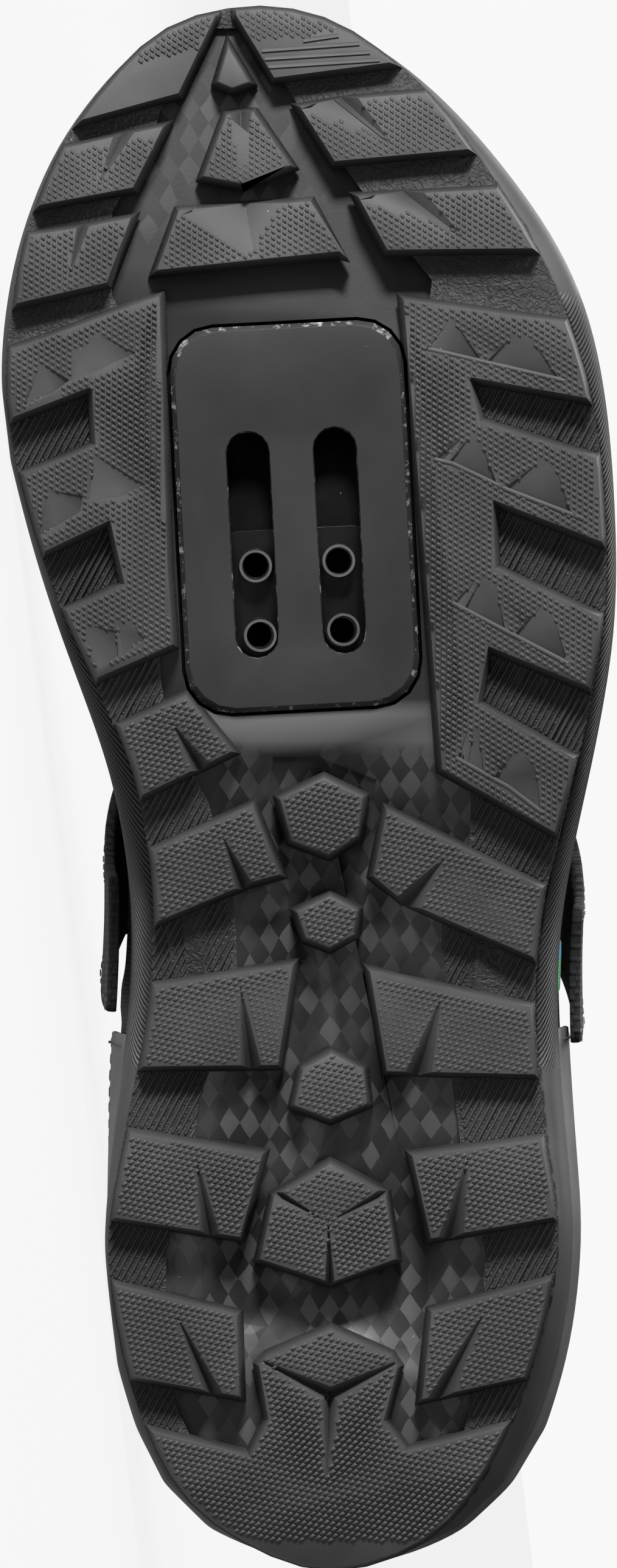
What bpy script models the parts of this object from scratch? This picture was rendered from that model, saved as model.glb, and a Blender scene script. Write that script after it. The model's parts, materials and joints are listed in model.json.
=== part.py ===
"""A left cycling shoe with a lugged rubber sole, lying on its inner side with the sole showing.

The shoe is modelled upright: +X is its inner side, +Y its toe and +Z up, with the ground at zero.
Every piece is built on a flat sole, bent to the toe spring and arch, and then laid on its side.
"""
import bmesh
import bpy
from collections import namedtuple
from math import cos, floor, pi, radians, sin
from mathutils import Matrix, Vector

# Driving sizes in metres
LENGTH = 0.2647
BALL_WIDTH = 0.1043
INSTEP_HEIGHT = 0.094
GAP = 0.0003

# Sole stack, from the ground up
LUG_HEIGHT = 0.0052
LUG_DRAFT = 0.0011
WEB_THICKNESS = 0.0011
POCKET_SINK = 0.0002
PLATE_THICKNESS = 0.0026
PLATE_INSET = 0.0016
TROUGH_DEPTH = 0.0007
BALL_FOAM = 0.0045
HEEL_FOAM = 0.0105
RIM_HEIGHT = 0.0052
RIM_THICKNESS = 0.0018
RIM_GAP = 0.0004
SIDE_STEP = 0.0009
SOLE_EDGE_ROUND = 0.0012
EDGE_STEP_IN = 0.00009
NOTCH_SPREAD = 1.3

# Bending of the whole shoe
TOE_SPRING = 0.0165
TOE_SPRING_START = 0.700
HEEL_RISE = 0.0035
HEEL_RISE_START = 0.085
ARCH_RISE = 0.0028
ARCH_START = 0.200
ARCH_END = 0.560

# Cleat pocket
CLEAT_BOLT_PITCH = 0.014
CLEAT_ROW_STEP = 0.0117
POCKET_LENGTH = 0.065
POCKET_WIDTH = 0.0394
POCKET_CORNER = 0.0075
POCKET_TILT = 3.0
POCKET_CENTRE = (0.057, 0.6715)
POCKET_CLEARANCE = 0.0006
INSERT_PROUD = 0.0012
SLOT_WIDTH = 0.0071
SLOT_LENGTH = 0.038
BOSS_RADIUS = 0.0029
BOSS_HOLE_RADIUS = 0.0021
INSERT_BEVEL = 0.0008
SLOT_SPREAD = 0.00035
SLOT_SHIFT = -0.0044
SLOT_BEVEL = 0.0004
BOSS_REACH = 0.0026
NUT_PLATE_THICKNESS = 0.0020
NUT_PLATE_SHIFT = -0.0137
NUT_PLATE_LENGTH = 0.0235
NUT_PLATE_MARGIN = 0.0060
NUT_PLATE_CORNER = 0.0040
NUT_RECESS_CLEARANCE = 0.0006
NUT_RECESS_SHIFT = -0.0054
NUT_RECESS_LENGTH = 0.0408
OVERCUT = 0.0010

# Upper and what goes with it
WALL = 0.0022
COLLAR_PADDING = 0.0032
INSOLE_THICKNESS = 0.0032
INSOLE_ROUND = 0.0012
INSOLE_LIP = 0.0010
INSOLE_EDGE = 0.0080
TONGUE_THICKNESS = 0.0030
TONGUE_GAP = 0.0009
OVERLAY_THICKNESS = 0.0011
STRAP_GAP = 0.0008
STRAP_THICKNESS = 0.0018
STRAP_WIDTH = 0.024
TAB_THICKNESS = 0.0009
FLOOR_FLAT = 0.0005
COUNTER_TOP = 0.62
COUNTER_FADE = 0.20
PADDING_START = 0.62

# The side of the sole, a row for each level: share of the way from tread to sole outline, and
# share of the height from the foam's underside to the rim
SIDE_LEVELS = ((0.55, 0.12), (1.0, 0.34), (1.0, 0.58))
SIDE_STEP_LEVEL = 0.62
SIDE_INSET = 0.0008

# How finely the curves are divided
LOOP_HALF = 28
TREAD_HALF = 56
TOE_CAP_REACH = 6
COUNTER_REACH_IN = 10
COUNTER_REACH_OUT = 10
STRAP_ROWS = 2
STRAP_STEPS = 9
OVERLAY_ROWS = 6
WALL_ROWS = 9
BEND_STEP = 0.012
HEEL_BEND_STEP = 0.0075

# The sole outline: shares of the length along, shares of the ball width to each side
Outline = namedtuple("Outline", "along tread_in tread_out sole_in sole_out")
OUTLINES = (
    Outline(0.017, 0.134, 0.148, 0.160, 0.172),
    Outline(0.055, 0.249, 0.240, 0.270, 0.282),
    Outline(0.125, 0.326, 0.322, 0.343, 0.360),
    Outline(0.208, 0.358, 0.368, 0.366, 0.394),
    Outline(0.280, 0.330, 0.348, 0.350, 0.379),
    Outline(0.359, 0.294, 0.332, 0.322, 0.366),
    Outline(0.427, 0.286, 0.347, 0.322, 0.380),
    Outline(0.491, 0.308, 0.384, 0.345, 0.412),
    Outline(0.536, 0.345, 0.412, 0.379, 0.437),
    Outline(0.608, 0.430, 0.443, 0.447, 0.464),
    Outline(0.680, 0.491, 0.444, 0.501, 0.462),
    Outline(0.748, 0.523, 0.422, 0.534, 0.448),
    Outline(0.805, 0.514, 0.378, 0.526, 0.418),
    Outline(0.854, 0.491, 0.320, 0.501, 0.360),
    Outline(0.907, 0.437, 0.232, 0.448, 0.262),
    Outline(0.944, 0.374, 0.160, 0.384, 0.178),
    Outline(0.975, 0.302, 0.069, 0.313, 0.080),
    Outline(0.993, 0.223, -0.012, 0.235, -0.002),
)
HEEL_TIP_ACROSS = -0.005
TOE_TIP_ACROSS = 0.112

# Side lugs: corners as shares of the ball width (inner side positive) and of the length
Lug = namedtuple("Lug", "name corners")
SIDE_LUGS = (
    Lug("toe_inner", ((0.187, 1.020), (0.185, 0.993), (0.245, 0.942), (0.417, 0.923),
                      (0.499, 0.914), (0.499, 1.020))),
    Lug("toe_outer", ((0.151, 1.020), (0.152, 0.993), (0.090, 0.952), (-0.099, 0.962),
                      (-0.211, 0.967), (-0.211, 1.020))),
    Lug("front_inner", ((0.270, 0.920), (0.318, 0.881), (0.479, 0.869), (0.575, 0.861),
                        (0.575, 0.897), (0.441, 0.905), (0.345, 0.914))),
    Lug("front_outer", ((0.048, 0.933), (-0.008, 0.898), (-0.232, 0.906), (-0.364, 0.912),
                        (-0.288, 0.947), (-0.149, 0.942), (-0.029, 0.938))),
    Lug("ball_inner", ((0.322, 0.861), (0.360, 0.820), (0.513, 0.806), (0.614, 0.796),
                       (0.594, 0.851), (0.489, 0.850), (0.403, 0.855))),
    Lug("ball_outer", ((-0.046, 0.875), (-0.093, 0.841), (-0.337, 0.842), (-0.460, 0.842),
                       (-0.403, 0.881), (-0.278, 0.880), (-0.129, 0.877))),
    Lug("rail_inner", ((0.275, 0.811), (0.291, 0.809), (0.513, 0.777), (0.633, 0.759),
                       (0.556, 0.540), (0.385, 0.567), (0.253, 0.590), (0.262, 0.640))),
    Lug("rail_outer", ((-0.119, 0.809), (-0.389, 0.794), (-0.575, 0.784), (-0.499, 0.441),
                       (-0.366, 0.470), (-0.181, 0.511), (-0.163, 0.620))),
    Lug("arch_inner", ((0.232, 0.557), (0.159, 0.522), (0.310, 0.493), (0.441, 0.467),
                       (0.499, 0.510), (0.349, 0.536))),
    Lug("waist_inner", ((0.125, 0.487), (0.081, 0.444), (0.128, 0.439), (0.285, 0.413),
                        (0.403, 0.393), (0.441, 0.433), (0.296, 0.457))),
    Lug("waist_outer", ((-0.092, 0.484), (-0.070, 0.443), (-0.115, 0.428), (-0.330, 0.391),
                        (-0.460, 0.369), (-0.499, 0.405), (-0.349, 0.434))),
    Lug("shank_inner", ((0.060, 0.386), (0.084, 0.323), (0.305, 0.322), (0.431, 0.321),
                        (0.431, 0.363), (0.291, 0.372))),
    Lug("shank_outer", ((-0.065, 0.382), (-0.092, 0.319), (-0.334, 0.317), (-0.479, 0.315),
                        (-0.479, 0.347), (-0.330, 0.359))),
    Lug("heel_inner_front", ((0.109, 0.266), (0.145, 0.214), (0.359, 0.227), (0.499, 0.236),
                             (0.479, 0.289), (0.330, 0.280))),
    Lug("heel_outer_front", ((-0.133, 0.265), (-0.163, 0.213), (-0.368, 0.227), (-0.499, 0.236),
                             (-0.499, 0.284), (-0.349, 0.276))),
    Lug("heel_inner_mid", ((0.150, 0.164), (0.146, 0.113), (0.328, 0.126), (0.479, 0.138),
                           (0.499, 0.197), (0.359, 0.184))),
    Lug("heel_outer_mid", ((-0.164, 0.166), (-0.149, 0.111), (-0.322, 0.126), (-0.479, 0.140),
                           (-0.518, 0.201), (-0.366, 0.187))),
    Lug("heel_block", ((0.000, 0.155), (-0.098, 0.138), (-0.109, 0.131), (-0.086, 0.097),
                       (-0.123, 0.077), (-0.295, 0.094), (-0.575, 0.121), (-0.575, -0.060),
                       (0.575, -0.060), (0.575, 0.117), (0.298, 0.091), (0.129, 0.074),
                       (0.099, 0.098), (0.114, 0.132), (0.100, 0.138))),
)
CENTRE_LUGS = (
    Lug("lug_toe_point", ((0.165, 0.973), (0.130, 0.949), (0.158, 0.945), (0.182, 0.949))),
    Lug("lug_front_centre", ((0.168, 0.928), (0.123, 0.930), (0.063, 0.895), (0.140, 0.883),
                             (0.205, 0.888))),
    Lug("lug_ball_centre", ((0.244, 0.866), (0.279, 0.828), (-0.015, 0.840), (-0.027, 0.836),
                            (0.031, 0.872))),
    Lug("lug_arch_hexagon", ((0.010, 0.505), (-0.054, 0.493), (-0.045, 0.468), (0.001, 0.456),
                             (0.062, 0.465), (0.081, 0.492))),
    Lug("lug_waist_hexagon", ((0.000, 0.430), (-0.044, 0.421), (-0.038, 0.405), (0.000, 0.397),
                              (0.039, 0.403), (0.053, 0.420))),
    Lug("lug_shank_hexagon", ((-0.002, 0.330), (-0.054, 0.320), (-0.060, 0.298), (-0.001, 0.288),
                              (0.058, 0.297), (0.044, 0.320))),
    Lug("lug_heel_shield", ((0.000, 0.260), (-0.089, 0.241), (-0.106, 0.200), (-0.002, 0.185),
                            (0.112, 0.200), (0.090, 0.239))),
)
# Pockets cut into the rails beside the cleat
RAIL_POCKETS = (
    Lug("inner_front", ((0.383, 0.754), (0.513, 0.734), (0.633, 0.716), (0.594, 0.682),
                        (0.489, 0.698), (0.377, 0.716))),
    Lug("inner_rear", ((0.354, 0.669), (0.466, 0.648), (0.594, 0.623), (0.556, 0.587),
                       (0.431, 0.610), (0.330, 0.628))),
    Lug("outer_front", ((-0.223, 0.760), (-0.422, 0.746), (-0.575, 0.735), (-0.575, 0.691),
                        (-0.431, 0.708), (-0.242, 0.731))),
    Lug("outer_mid", ((-0.262, 0.682), (-0.446, 0.654), (-0.575, 0.634), (-0.575, 0.586),
                      (-0.441, 0.606), (-0.266, 0.638))),
    Lug("outer_rear", ((-0.255, 0.589), (-0.419, 0.563), (-0.575, 0.537), (-0.556, 0.480),
                       (-0.399, 0.516), (-0.237, 0.552))),
)
# Notches: a V that starts at its tip and is deepest at its mouth
Notch = namedtuple("Notch", "lug tip mouth half_width depth")
NOTCHES = (
    Notch("front_inner", (0.376, 0.881), (0.328, 0.921), 0.0017, 0.0026),
    Notch("front_outer", (-0.102, 0.909), (-0.002, 0.945), 0.0027, 0.0032),
    Notch("ball_inner", (0.422, 0.822), (0.395, 0.862), 0.0012, 0.0026),
    Notch("ball_outer", (-0.226, 0.845), (-0.094, 0.886), 0.0031, 0.0032),
    Notch("arch_inner", (0.258, 0.542), (0.203, 0.508), 0.0019, 0.0032),
    Notch("waist_inner", (0.174, 0.469), (0.137, 0.434), 0.0017, 0.0032),
    Notch("waist_outer", (-0.188, 0.456), (-0.125, 0.424), 0.0023, 0.0032),
    Notch("shank_inner", (0.145, 0.375), (0.125, 0.316), 0.0019, 0.0034),
    Notch("shank_outer", (-0.180, 0.367), (-0.140, 0.313), 0.0024, 0.0034),
    Notch("heel_inner_front", (0.217, 0.267), (0.191, 0.209), 0.0019, 0.0034),
    Notch("heel_outer_front", (-0.224, 0.267), (-0.194, 0.210), 0.0022, 0.0034),
    Notch("heel_inner_mid", (0.250, 0.167), (0.181, 0.107), 0.0018, 0.0034),
    Notch("heel_outer_mid", (-0.255, 0.171), (-0.169, 0.105), 0.0020, 0.0034),
    Notch("heel_block", (0.006, 0.050), (0.000, 0.115), 0.0015, 0.0032),
    Notch("heel_crown_inner", (0.135, 0.140), (-0.004, 0.1125), 0.0015, 0.0028),
    Notch("heel_crown_outer", (-0.138, 0.140), (0.007, 0.1115), 0.0015, 0.0030),
    Notch("lug_front_centre", (0.141, 0.885), (0.145, 0.936), 0.0020, 0.0034),
    Notch("lug_ball_centre", (0.122, 0.836), (0.139, 0.876), 0.0090, 0.0032),
    Notch("lug_heel_shield", (0.003, 0.228), (0.000, 0.181), 0.0009, 0.0026),
    Notch("lug_heel_shield", (0.003, 0.223), (0.097, 0.244), 0.0009, 0.0026),
    Notch("lug_heel_shield", (0.003, 0.223), (-0.097, 0.244), 0.0009, 0.0026),
)
# The rubber web's window, through which the plate shows, and the plate's shallow trough
WEB_WINDOW = (
    (0.186, 0.985), (0.264, 0.946), (0.292, 0.907), (0.352, 0.866), (0.352, 0.812), (0.296, 0.772),
    (0.285, 0.680), (0.278, 0.604), (0.272, 0.567), (0.262, 0.536), (0.197, 0.491), (0.153, 0.423),
    (0.149, 0.363), (0.211, 0.302), (0.221, 0.264), (0.264, 0.204), (0.265, 0.151), (0.247, 0.106),
    (0.205, 0.068), (-0.200, 0.068), (-0.228, 0.106), (-0.244, 0.151), (-0.251, 0.204),
    (-0.211, 0.272), (-0.199, 0.310), (-0.178, 0.370), (-0.182, 0.423), (-0.225, 0.453),
    (-0.228, 0.491), (-0.196, 0.548), (-0.176, 0.680), (-0.150, 0.774), (-0.165, 0.822),
    (-0.086, 0.861), (-0.029, 0.892), (0.043, 0.929), (0.077, 0.952), (0.146, 0.985),
)
PLATE_TROUGH = (
    (0.019, 0.521), (-0.081, 0.506), (-0.063, 0.434), (-0.059, 0.382), (-0.094, 0.314),
    (-0.121, 0.264), (-0.159, 0.212), (-0.169, 0.166), (-0.139, 0.140), (0.139, 0.140),
    (0.153, 0.166), (0.149, 0.212), (0.113, 0.264), (0.086, 0.317), (0.056, 0.385),
    (0.079, 0.438), (0.110, 0.491), (0.096, 0.521),
)

# Upper sections, a row for each place along the feather line. edge_along is a share of the length,
# the other edge and bulge columns of the ball width, and height, lift, reach and drop of the instep
Section = namedtuple("Section", "along edge_along edge_in edge_out height lift bulge_in bulge_out "
                                "reach drop")
SECTIONS = (
    Section(0.000, 0.034, 0.000, 0.000, 1.000, 0.34, 0.050, 0.050, 0.00, 0.30),
    Section(0.035, 0.046, 0.110, 0.112, 0.980, 0.34, 0.036, 0.052, 0.01, 0.30),
    Section(0.100, 0.098, 0.222, 0.226, 0.915, 0.33, 0.020, 0.060, 0.03, 0.28),
    Section(0.190, 0.190, 0.285, 0.285, 0.800, 0.31, 0.014, 0.048, 0.05, 0.24),
    Section(0.270, 0.270, 0.292, 0.292, 0.765, 0.30, 0.022, 0.044, 0.06, 0.22),
    Section(0.350, 0.345, 0.252, 0.252, 0.840, 0.31, 0.042, 0.046, 0.10, 0.20),
    Section(0.430, 0.410, 0.178, 0.182, 0.965, 0.32, 0.034, 0.036, 0.19, 0.16),
    Section(0.520, 0.475, 0.150, 0.158, 0.930, 0.29, 0.020, 0.026, 0.24, 0.13),
    Section(0.610, 0.535, 0.140, 0.144, 0.835, 0.26, 0.010, 0.014, 0.26, 0.11),
    Section(0.710, 0.592, 0.130, 0.130, 0.730, 0.25, 0.006, 0.012, 0.28, 0.09),
    Section(0.810, 0.636, 0.108, 0.108, 0.660, 0.24, 0.006, 0.012, 0.31, 0.07),
    Section(0.900, 0.662, 0.074, 0.074, 0.622, 0.23, 0.006, 0.012, 0.36, 0.06),
    Section(0.970, 0.672, 0.034, 0.034, 0.606, 0.22, 0.010, 0.010, 0.40, 0.05),
    Section(1.000, 0.675, 0.000, 0.000, 0.600, 0.22, 0.012, 0.012, 0.42, 0.05),
)
# Tongue rows from the free top down: along is a share of the length, tuck the share of the ray that
# its edge reaches, back and lift shares of the instep height, spread a share of its own width
TongueRow = namedtuple("TongueRow", "along tuck back lift spread")
TONGUE_ROWS = (
    TongueRow(0.455, 0.92, 0.320, 0.165, 0.66),
    TongueRow(0.455, 0.91, 0.240, 0.120, 0.80),
    TongueRow(0.455, 0.90, 0.120, 0.045, 0.80),
    TongueRow(0.465, 0.86, 0.0, 0.0, 1.0),
    TongueRow(0.490, 0.82, 0.0, 0.0, 1.0),
    TongueRow(0.530, 0.82, 0.0, 0.0, 1.0),
    TongueRow(0.580, 0.83, 0.0, 0.0, 1.0),
    TongueRow(0.625, 0.84, 0.0, 0.0, 1.0),
    TongueRow(0.655, 0.86, 0.0, 0.0, 1.0),
    TongueRow(0.669, 0.78, 0.0, 0.0, 1.0),
)
THROAT_LEAN = 0.020
THROAT_CROWN = 0.0022
STRAP_CROWN = 0.0020
FOOT, EDGE = 0, 3

# The tab under the instep strap's end: shares of the length and of the ray it lies on
TAB_ALONG = (0.404, 0.385, 0.366)
TAB_SHARES = (0.075, 0.105, 0.135)

# Straps, in shares of the length: where they cross the throat and where each side ends
Strap = namedtuple("Strap", "name crossing foot_in foot_out end over_counter")
STRAPS = (
    Strap("instep_strap", 0.487, 0.397, 0.378, 0.15, 1.0),
    Strap("forefoot_strap", 0.598, 0.640, 0.620, 0.24, 0.0),
)

SHOE = bpy.data.collections.new("cycling_shoe")
CUTTERS = bpy.data.collections.new("cutters")


def clear_scene():
    for old in list(bpy.data.objects):
        bpy.data.objects.remove(old, do_unlink=True)
    bpy.context.scene.collection.children.link(SHOE)
    bpy.context.scene.collection.children.link(CUTTERS)


def material(name, colour, roughness, metallic=0.0):
    made = bpy.data.materials.new(name)
    made.use_nodes = True
    shader = made.node_tree.nodes["Principled BSDF"]
    shader.inputs["Base Color"].default_value = (*colour, 1.0)
    shader.inputs["Roughness"].default_value = roughness
    shader.inputs["Metallic"].default_value = metallic
    return made


def read_column(rows, column, share):
    """A smooth curve through one column of a table, read at a share of the length."""
    keys = [row.along for row in rows]
    values = [getattr(row, column) for row in rows]
    if share <= keys[0]:
        return values[0]
    if share >= keys[-1]:
        return values[-1]
    after = next(index for index, key in enumerate(keys) if key > share)
    before = after - 1
    span = keys[after] - keys[before]

    def slope(index):
        low = max(index - 1, 0)
        high = min(index + 1, len(keys) - 1)
        return (values[high] - values[low]) / (keys[high] - keys[low])

    t = (share - keys[before]) / span
    rise = values[after] - values[before]
    start = slope(before) * span
    end = slope(after) * span
    return values[before] + t * start + t * t * (3 * rise - 2 * start - end) \
        + t ** 3 * (start + end - 2 * rise)


def smooth_path(points, count):
    """Evenly spaced points along a smooth curve through the given ones."""
    fine = []
    for index in range(len(points) - 1):
        before = points[max(index - 1, 0)]
        start, end = points[index], points[index + 1]
        after = points[min(index + 2, len(points) - 1)]
        for step in range(12):
            t = step / 12
            fine.append(0.5 * (2 * start + (end - before) * t
                               + (2 * before - 5 * start + 4 * end - after) * t * t
                               + (3 * start - before - 3 * end + after) * t ** 3))
    fine.append(points[-1])
    lengths = [0.0]
    for index in range(1, len(fine)):
        lengths.append(lengths[-1] + (fine[index] - fine[index - 1]).length)
    even = []
    place = 0
    for index in range(count + 1):
        target = lengths[-1] * index / count
        while place < len(fine) - 2 and lengths[place + 1] < target:
            place += 1
        span = lengths[place + 1] - lengths[place]
        even.append(fine[place].lerp(fine[place + 1], (target - lengths[place]) / span))
    return even


def outline_loop(inner_column, outer_column, half=LOOP_HALF):
    """A closed outline of the sole: heel tip, inner side, toe tip, outer side."""
    heel = Vector((HEEL_TIP_ACROSS * BALL_WIDTH, 0.0))
    toe = Vector((TOE_TIP_ACROSS * BALL_WIDTH, LENGTH))
    inner = [Vector((getattr(row, inner_column) * BALL_WIDTH, row.along * LENGTH))
             for row in OUTLINES]
    outer = [Vector((-getattr(row, outer_column) * BALL_WIDTH, row.along * LENGTH))
             for row in OUTLINES]
    ring = [outer[0], heel, *inner, toe, *reversed(outer), heel, inner[0]]
    whole = smooth_path(ring, half * 24)
    start = min(range(half * 8), key=lambda index: (whole[index] - heel).length)
    end = min(range(half * 16, len(whole)), key=lambda index: (whole[index] - heel).length)
    tip = max(range(len(whole)), key=lambda index: whole[index].y)
    inner_side = smooth_path(whole[start:tip + 1], half)
    outer_side = smooth_path(whole[tip:end + 1], half)
    return inner_side[:-1] + outer_side[:-1]


def outward(loop, index):
    """The outward direction of a counter-clockwise closed loop at one of its points."""
    along = loop[(index + 1) % len(loop)] - loop[index - 1]
    return Vector((along.y, -along.x)).normalized()


def grown(loop, distance):
    """A closed loop moved outwards, or inwards for a negative distance."""
    return [point + outward(loop, index) * distance for index, point in enumerate(loop)]


def corner_loop(corners):
    """A polygon's corners in metres, counter-clockwise."""
    points = [Vector((across * BALL_WIDTH, along * LENGTH)) for across, along in corners]
    area = sum(points[i - 1].x * points[i].y - points[i].x * points[i - 1].y
               for i in range(len(points)))
    return points if area > 0 else list(reversed(points))


def grown_corners(points, distance):
    """A polygon whose sides have moved outwards by a distance, with its corners kept sharp."""
    result = []
    for index, point in enumerate(points):
        before = (point - points[index - 1]).normalized()
        after = (points[(index + 1) % len(points)] - point).normalized()
        normal = Vector((before.y + after.y, -before.x - after.x))
        scale = normal.length_squared / 2
        result.append(point + normal * (distance / max(scale, 0.35)))
    return result


def link(name, mesh, finish, collection=SHOE):
    piece = bpy.data.objects.new(name, mesh)
    if finish:
        piece.data.materials.append(finish)
    collection.objects.link(piece)
    if collection is CUTTERS:
        piece.hide_render = True
        piece.display_type = "WIRE"
    return piece


def mesh_from(work, name):
    bmesh.ops.recalc_face_normals(work, faces=work.faces)
    mesh = bpy.data.meshes.new(name)
    work.to_mesh(mesh)
    work.free()
    return mesh


def ring_into(work, rings):
    """Closed rings of 3D points, joined one to the next and capped at both ends."""
    made = [[work.verts.new(point) for point in ring] for ring in rings]
    count = len(made[0])
    for lower, upper in zip(made, made[1:]):
        for index in range(count):
            after = (index + 1) % count
            work.faces.new((lower[index], lower[after], upper[after], upper[index]))
    work.faces.new(list(reversed(made[0])))
    work.faces.new(made[-1])


def loft(name, rings, finish, collection=SHOE):
    work = bmesh.new()
    ring_into(work, rings)
    return link(name, mesh_from(work, name), finish, collection)


def flat_ring(loop, height):
    return [Vector((point.x, point.y, height)) for point in loop]


def tube_of_rings(name, rings, finish):
    """Rings joined into a closed band, the last one to the first."""
    work = bmesh.new()
    made = [[work.verts.new(point) for point in ring] for ring in rings]
    count = len(made[0])
    for place, lower in enumerate(made):
        upper = made[(place + 1) % len(made)]
        for index in range(count):
            after = (index + 1) % count
            work.faces.new((lower[index], lower[after], upper[after], upper[index]))
    return link(name, mesh_from(work, name), finish)


def slab(name, outer, inner, finish):
    """A closed sheet between two grids of points with the same rows and columns."""
    work = bmesh.new()
    rows, columns = len(outer), len(outer[0])
    sides = [[[work.verts.new(point) for point in row] for row in grid] for grid in (outer, inner)]
    for side in sides:
        for row in range(rows - 1):
            for column in range(columns - 1):
                work.faces.new((side[row][column], side[row][column + 1],
                                side[row + 1][column + 1], side[row + 1][column]))
    border = [(0, column) for column in range(columns)]
    border += [(row, columns - 1) for row in range(1, rows)]
    border += [(rows - 1, column) for column in range(columns - 2, -1, -1)]
    border += [(row, 0) for row in range(rows - 2, 0, -1)]
    for place, here in enumerate(border):
        there = border[(place + 1) % len(border)]
        work.faces.new((sides[0][here[0]][here[1]], sides[0][there[0]][there[1]],
                        sides[1][there[0]][there[1]], sides[1][here[0]][here[1]]))
    return link(name, mesh_from(work, name), finish)


def hull_cutter(name, points):
    work = bmesh.new()
    for point in points:
        work.verts.new(point)
    hull = bmesh.ops.convex_hull(work, input=work.verts)
    bmesh.ops.delete(work, geom=list({*hull["geom_interior"], *hull["geom_unused"]}),
                     context="VERTS")
    return link(name, mesh_from(work, name), None, CUTTERS)


def combine(piece, others, operation):
    """Boolean operations with the EXACT solver, kept in the piece's own mesh."""
    for other in others:
        cut = piece.modifiers.new(other.name, "BOOLEAN")
        cut.operation = operation
        cut.solver = "EXACT"
        cut.object = other
    bpy.context.view_layer.update()
    graph = bpy.context.evaluated_depsgraph_get()
    result = bpy.data.meshes.new_from_object(piece.evaluated_get(graph))
    piece.modifiers.clear()
    piece.data = result
    for other in others:
        bpy.data.objects.remove(other, do_unlink=True)


def rounded_rectangle(width, length, corner, steps=4):
    loop = []
    for quarter, (side, end) in enumerate(((1, -1), (1, 1), (-1, 1), (-1, -1))):
        centre = Vector((side * (width / 2 - corner), end * (length / 2 - corner)))
        for step in range(steps + 1):
            angle = -pi / 2 + quarter * pi / 2 + step / steps * pi / 2
            loop.append(centre + Vector((cos(angle), sin(angle))) * corner)
    return loop


def in_pocket(loop, shift=(0.0, 0.0)):
    """Moves a loop from the cleat pocket's own frame onto the sole."""
    turn = Matrix.Rotation(radians(-POCKET_TILT), 2)
    centre = Vector((POCKET_CENTRE[0] * BALL_WIDTH, POCKET_CENTRE[1] * LENGTH))
    return [turn @ (point + Vector(shift)) + centre for point in loop]


def notch_cutter(notch):
    tip = Vector((notch.tip[0] * BALL_WIDTH, notch.tip[1] * LENGTH))
    mouth = Vector((notch.mouth[0] * BALL_WIDTH, notch.mouth[1] * LENGTH))
    along = (mouth - tip).normalized()
    across = Vector((along.y, -along.x)) * notch.half_width
    points = [(*(mouth + along * GAP), notch.depth)]
    for height, spread in ((0.0, 1.0), (-OVERCUT, NOTCH_SPREAD)):
        points.append((*tip, height))
        points.append((*(mouth + across * spread), height))
        points.append((*(mouth - across * spread), height))
    return hull_cutter("notch_" + notch.lug, points)


def plate_bottom():
    return LUG_HEIGHT + GAP


def plate_top():
    return plate_bottom() + PLATE_THICKNESS


def foam_bottom():
    return plate_top() + GAP


def shelf(along):
    """Height of the foam that carries the foot, thicker under the heel."""
    share = min(max((along / LENGTH - 0.25) / 0.45, 0.0), 1.0)
    ease = share * share * (3 - 2 * share)
    return foam_bottom() + HEEL_FOAM + (BALL_FOAM - HEEL_FOAM) * ease


def bend_height(along):
    """How far the whole shoe lifts at a place along it: toe spring, arch and heel bevel."""
    share = along / LENGTH
    toe = max(share - TOE_SPRING_START, 0.0) / (1 - TOE_SPRING_START)
    heel = max(HEEL_RISE_START - share, 0.0) / HEEL_RISE_START
    arch = min(max((share - ARCH_START) / (ARCH_END - ARCH_START), 0.0), 1.0)
    return TOE_SPRING * toe ** 2 + HEEL_RISE * heel ** 2 + ARCH_RISE * sin(pi * arch) ** 2


def face_length(face):
    places = [vertex.co.y for vertex in face.verts]
    return max(places) - min(places)


def bend_stations():
    """Places along the shoe where faces are cut, each with the length past which they are."""
    stations = []
    for step in range(1, int(LENGTH / BEND_STEP) + 1):
        share = step * BEND_STEP / LENGTH
        flat = ARCH_END < share < TOE_SPRING_START - 0.02 or HEEL_RISE_START < share < ARCH_START
        if not flat:
            stations.append((step * BEND_STEP, 1.5 * BEND_STEP))
    heel_steps = int(HEEL_RISE_START * LENGTH / HEEL_BEND_STEP) + 1
    return stations + [(step * HEEL_BEND_STEP, HEEL_BEND_STEP) for step in range(1, heel_steps + 1)]


def bend(piece):
    """Cuts the long faces at stations along the shoe and lifts every point with the bend."""
    work = bmesh.new()
    work.from_mesh(piece.data)
    low = min(vertex.co.y for vertex in work.verts)
    high = max(vertex.co.y for vertex in work.verts)
    for along, limit in bend_stations():
        if low < along < high:
            long = [face for face in work.faces if face_length(face) > limit]
            edges = {edge for face in long for edge in face.edges}
            corners = {vertex for face in long for vertex in face.verts}
            geometry = [*corners, *edges, *long]
            bmesh.ops.bisect_plane(work, geom=geometry, dist=0.00002, plane_co=(0, along, 0),
                                   plane_no=(0, 1, 0))
    for vertex in work.verts:
        vertex.co.z += bend_height(vertex.co.y)
    work.to_mesh(piece.data)
    work.free()


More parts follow.
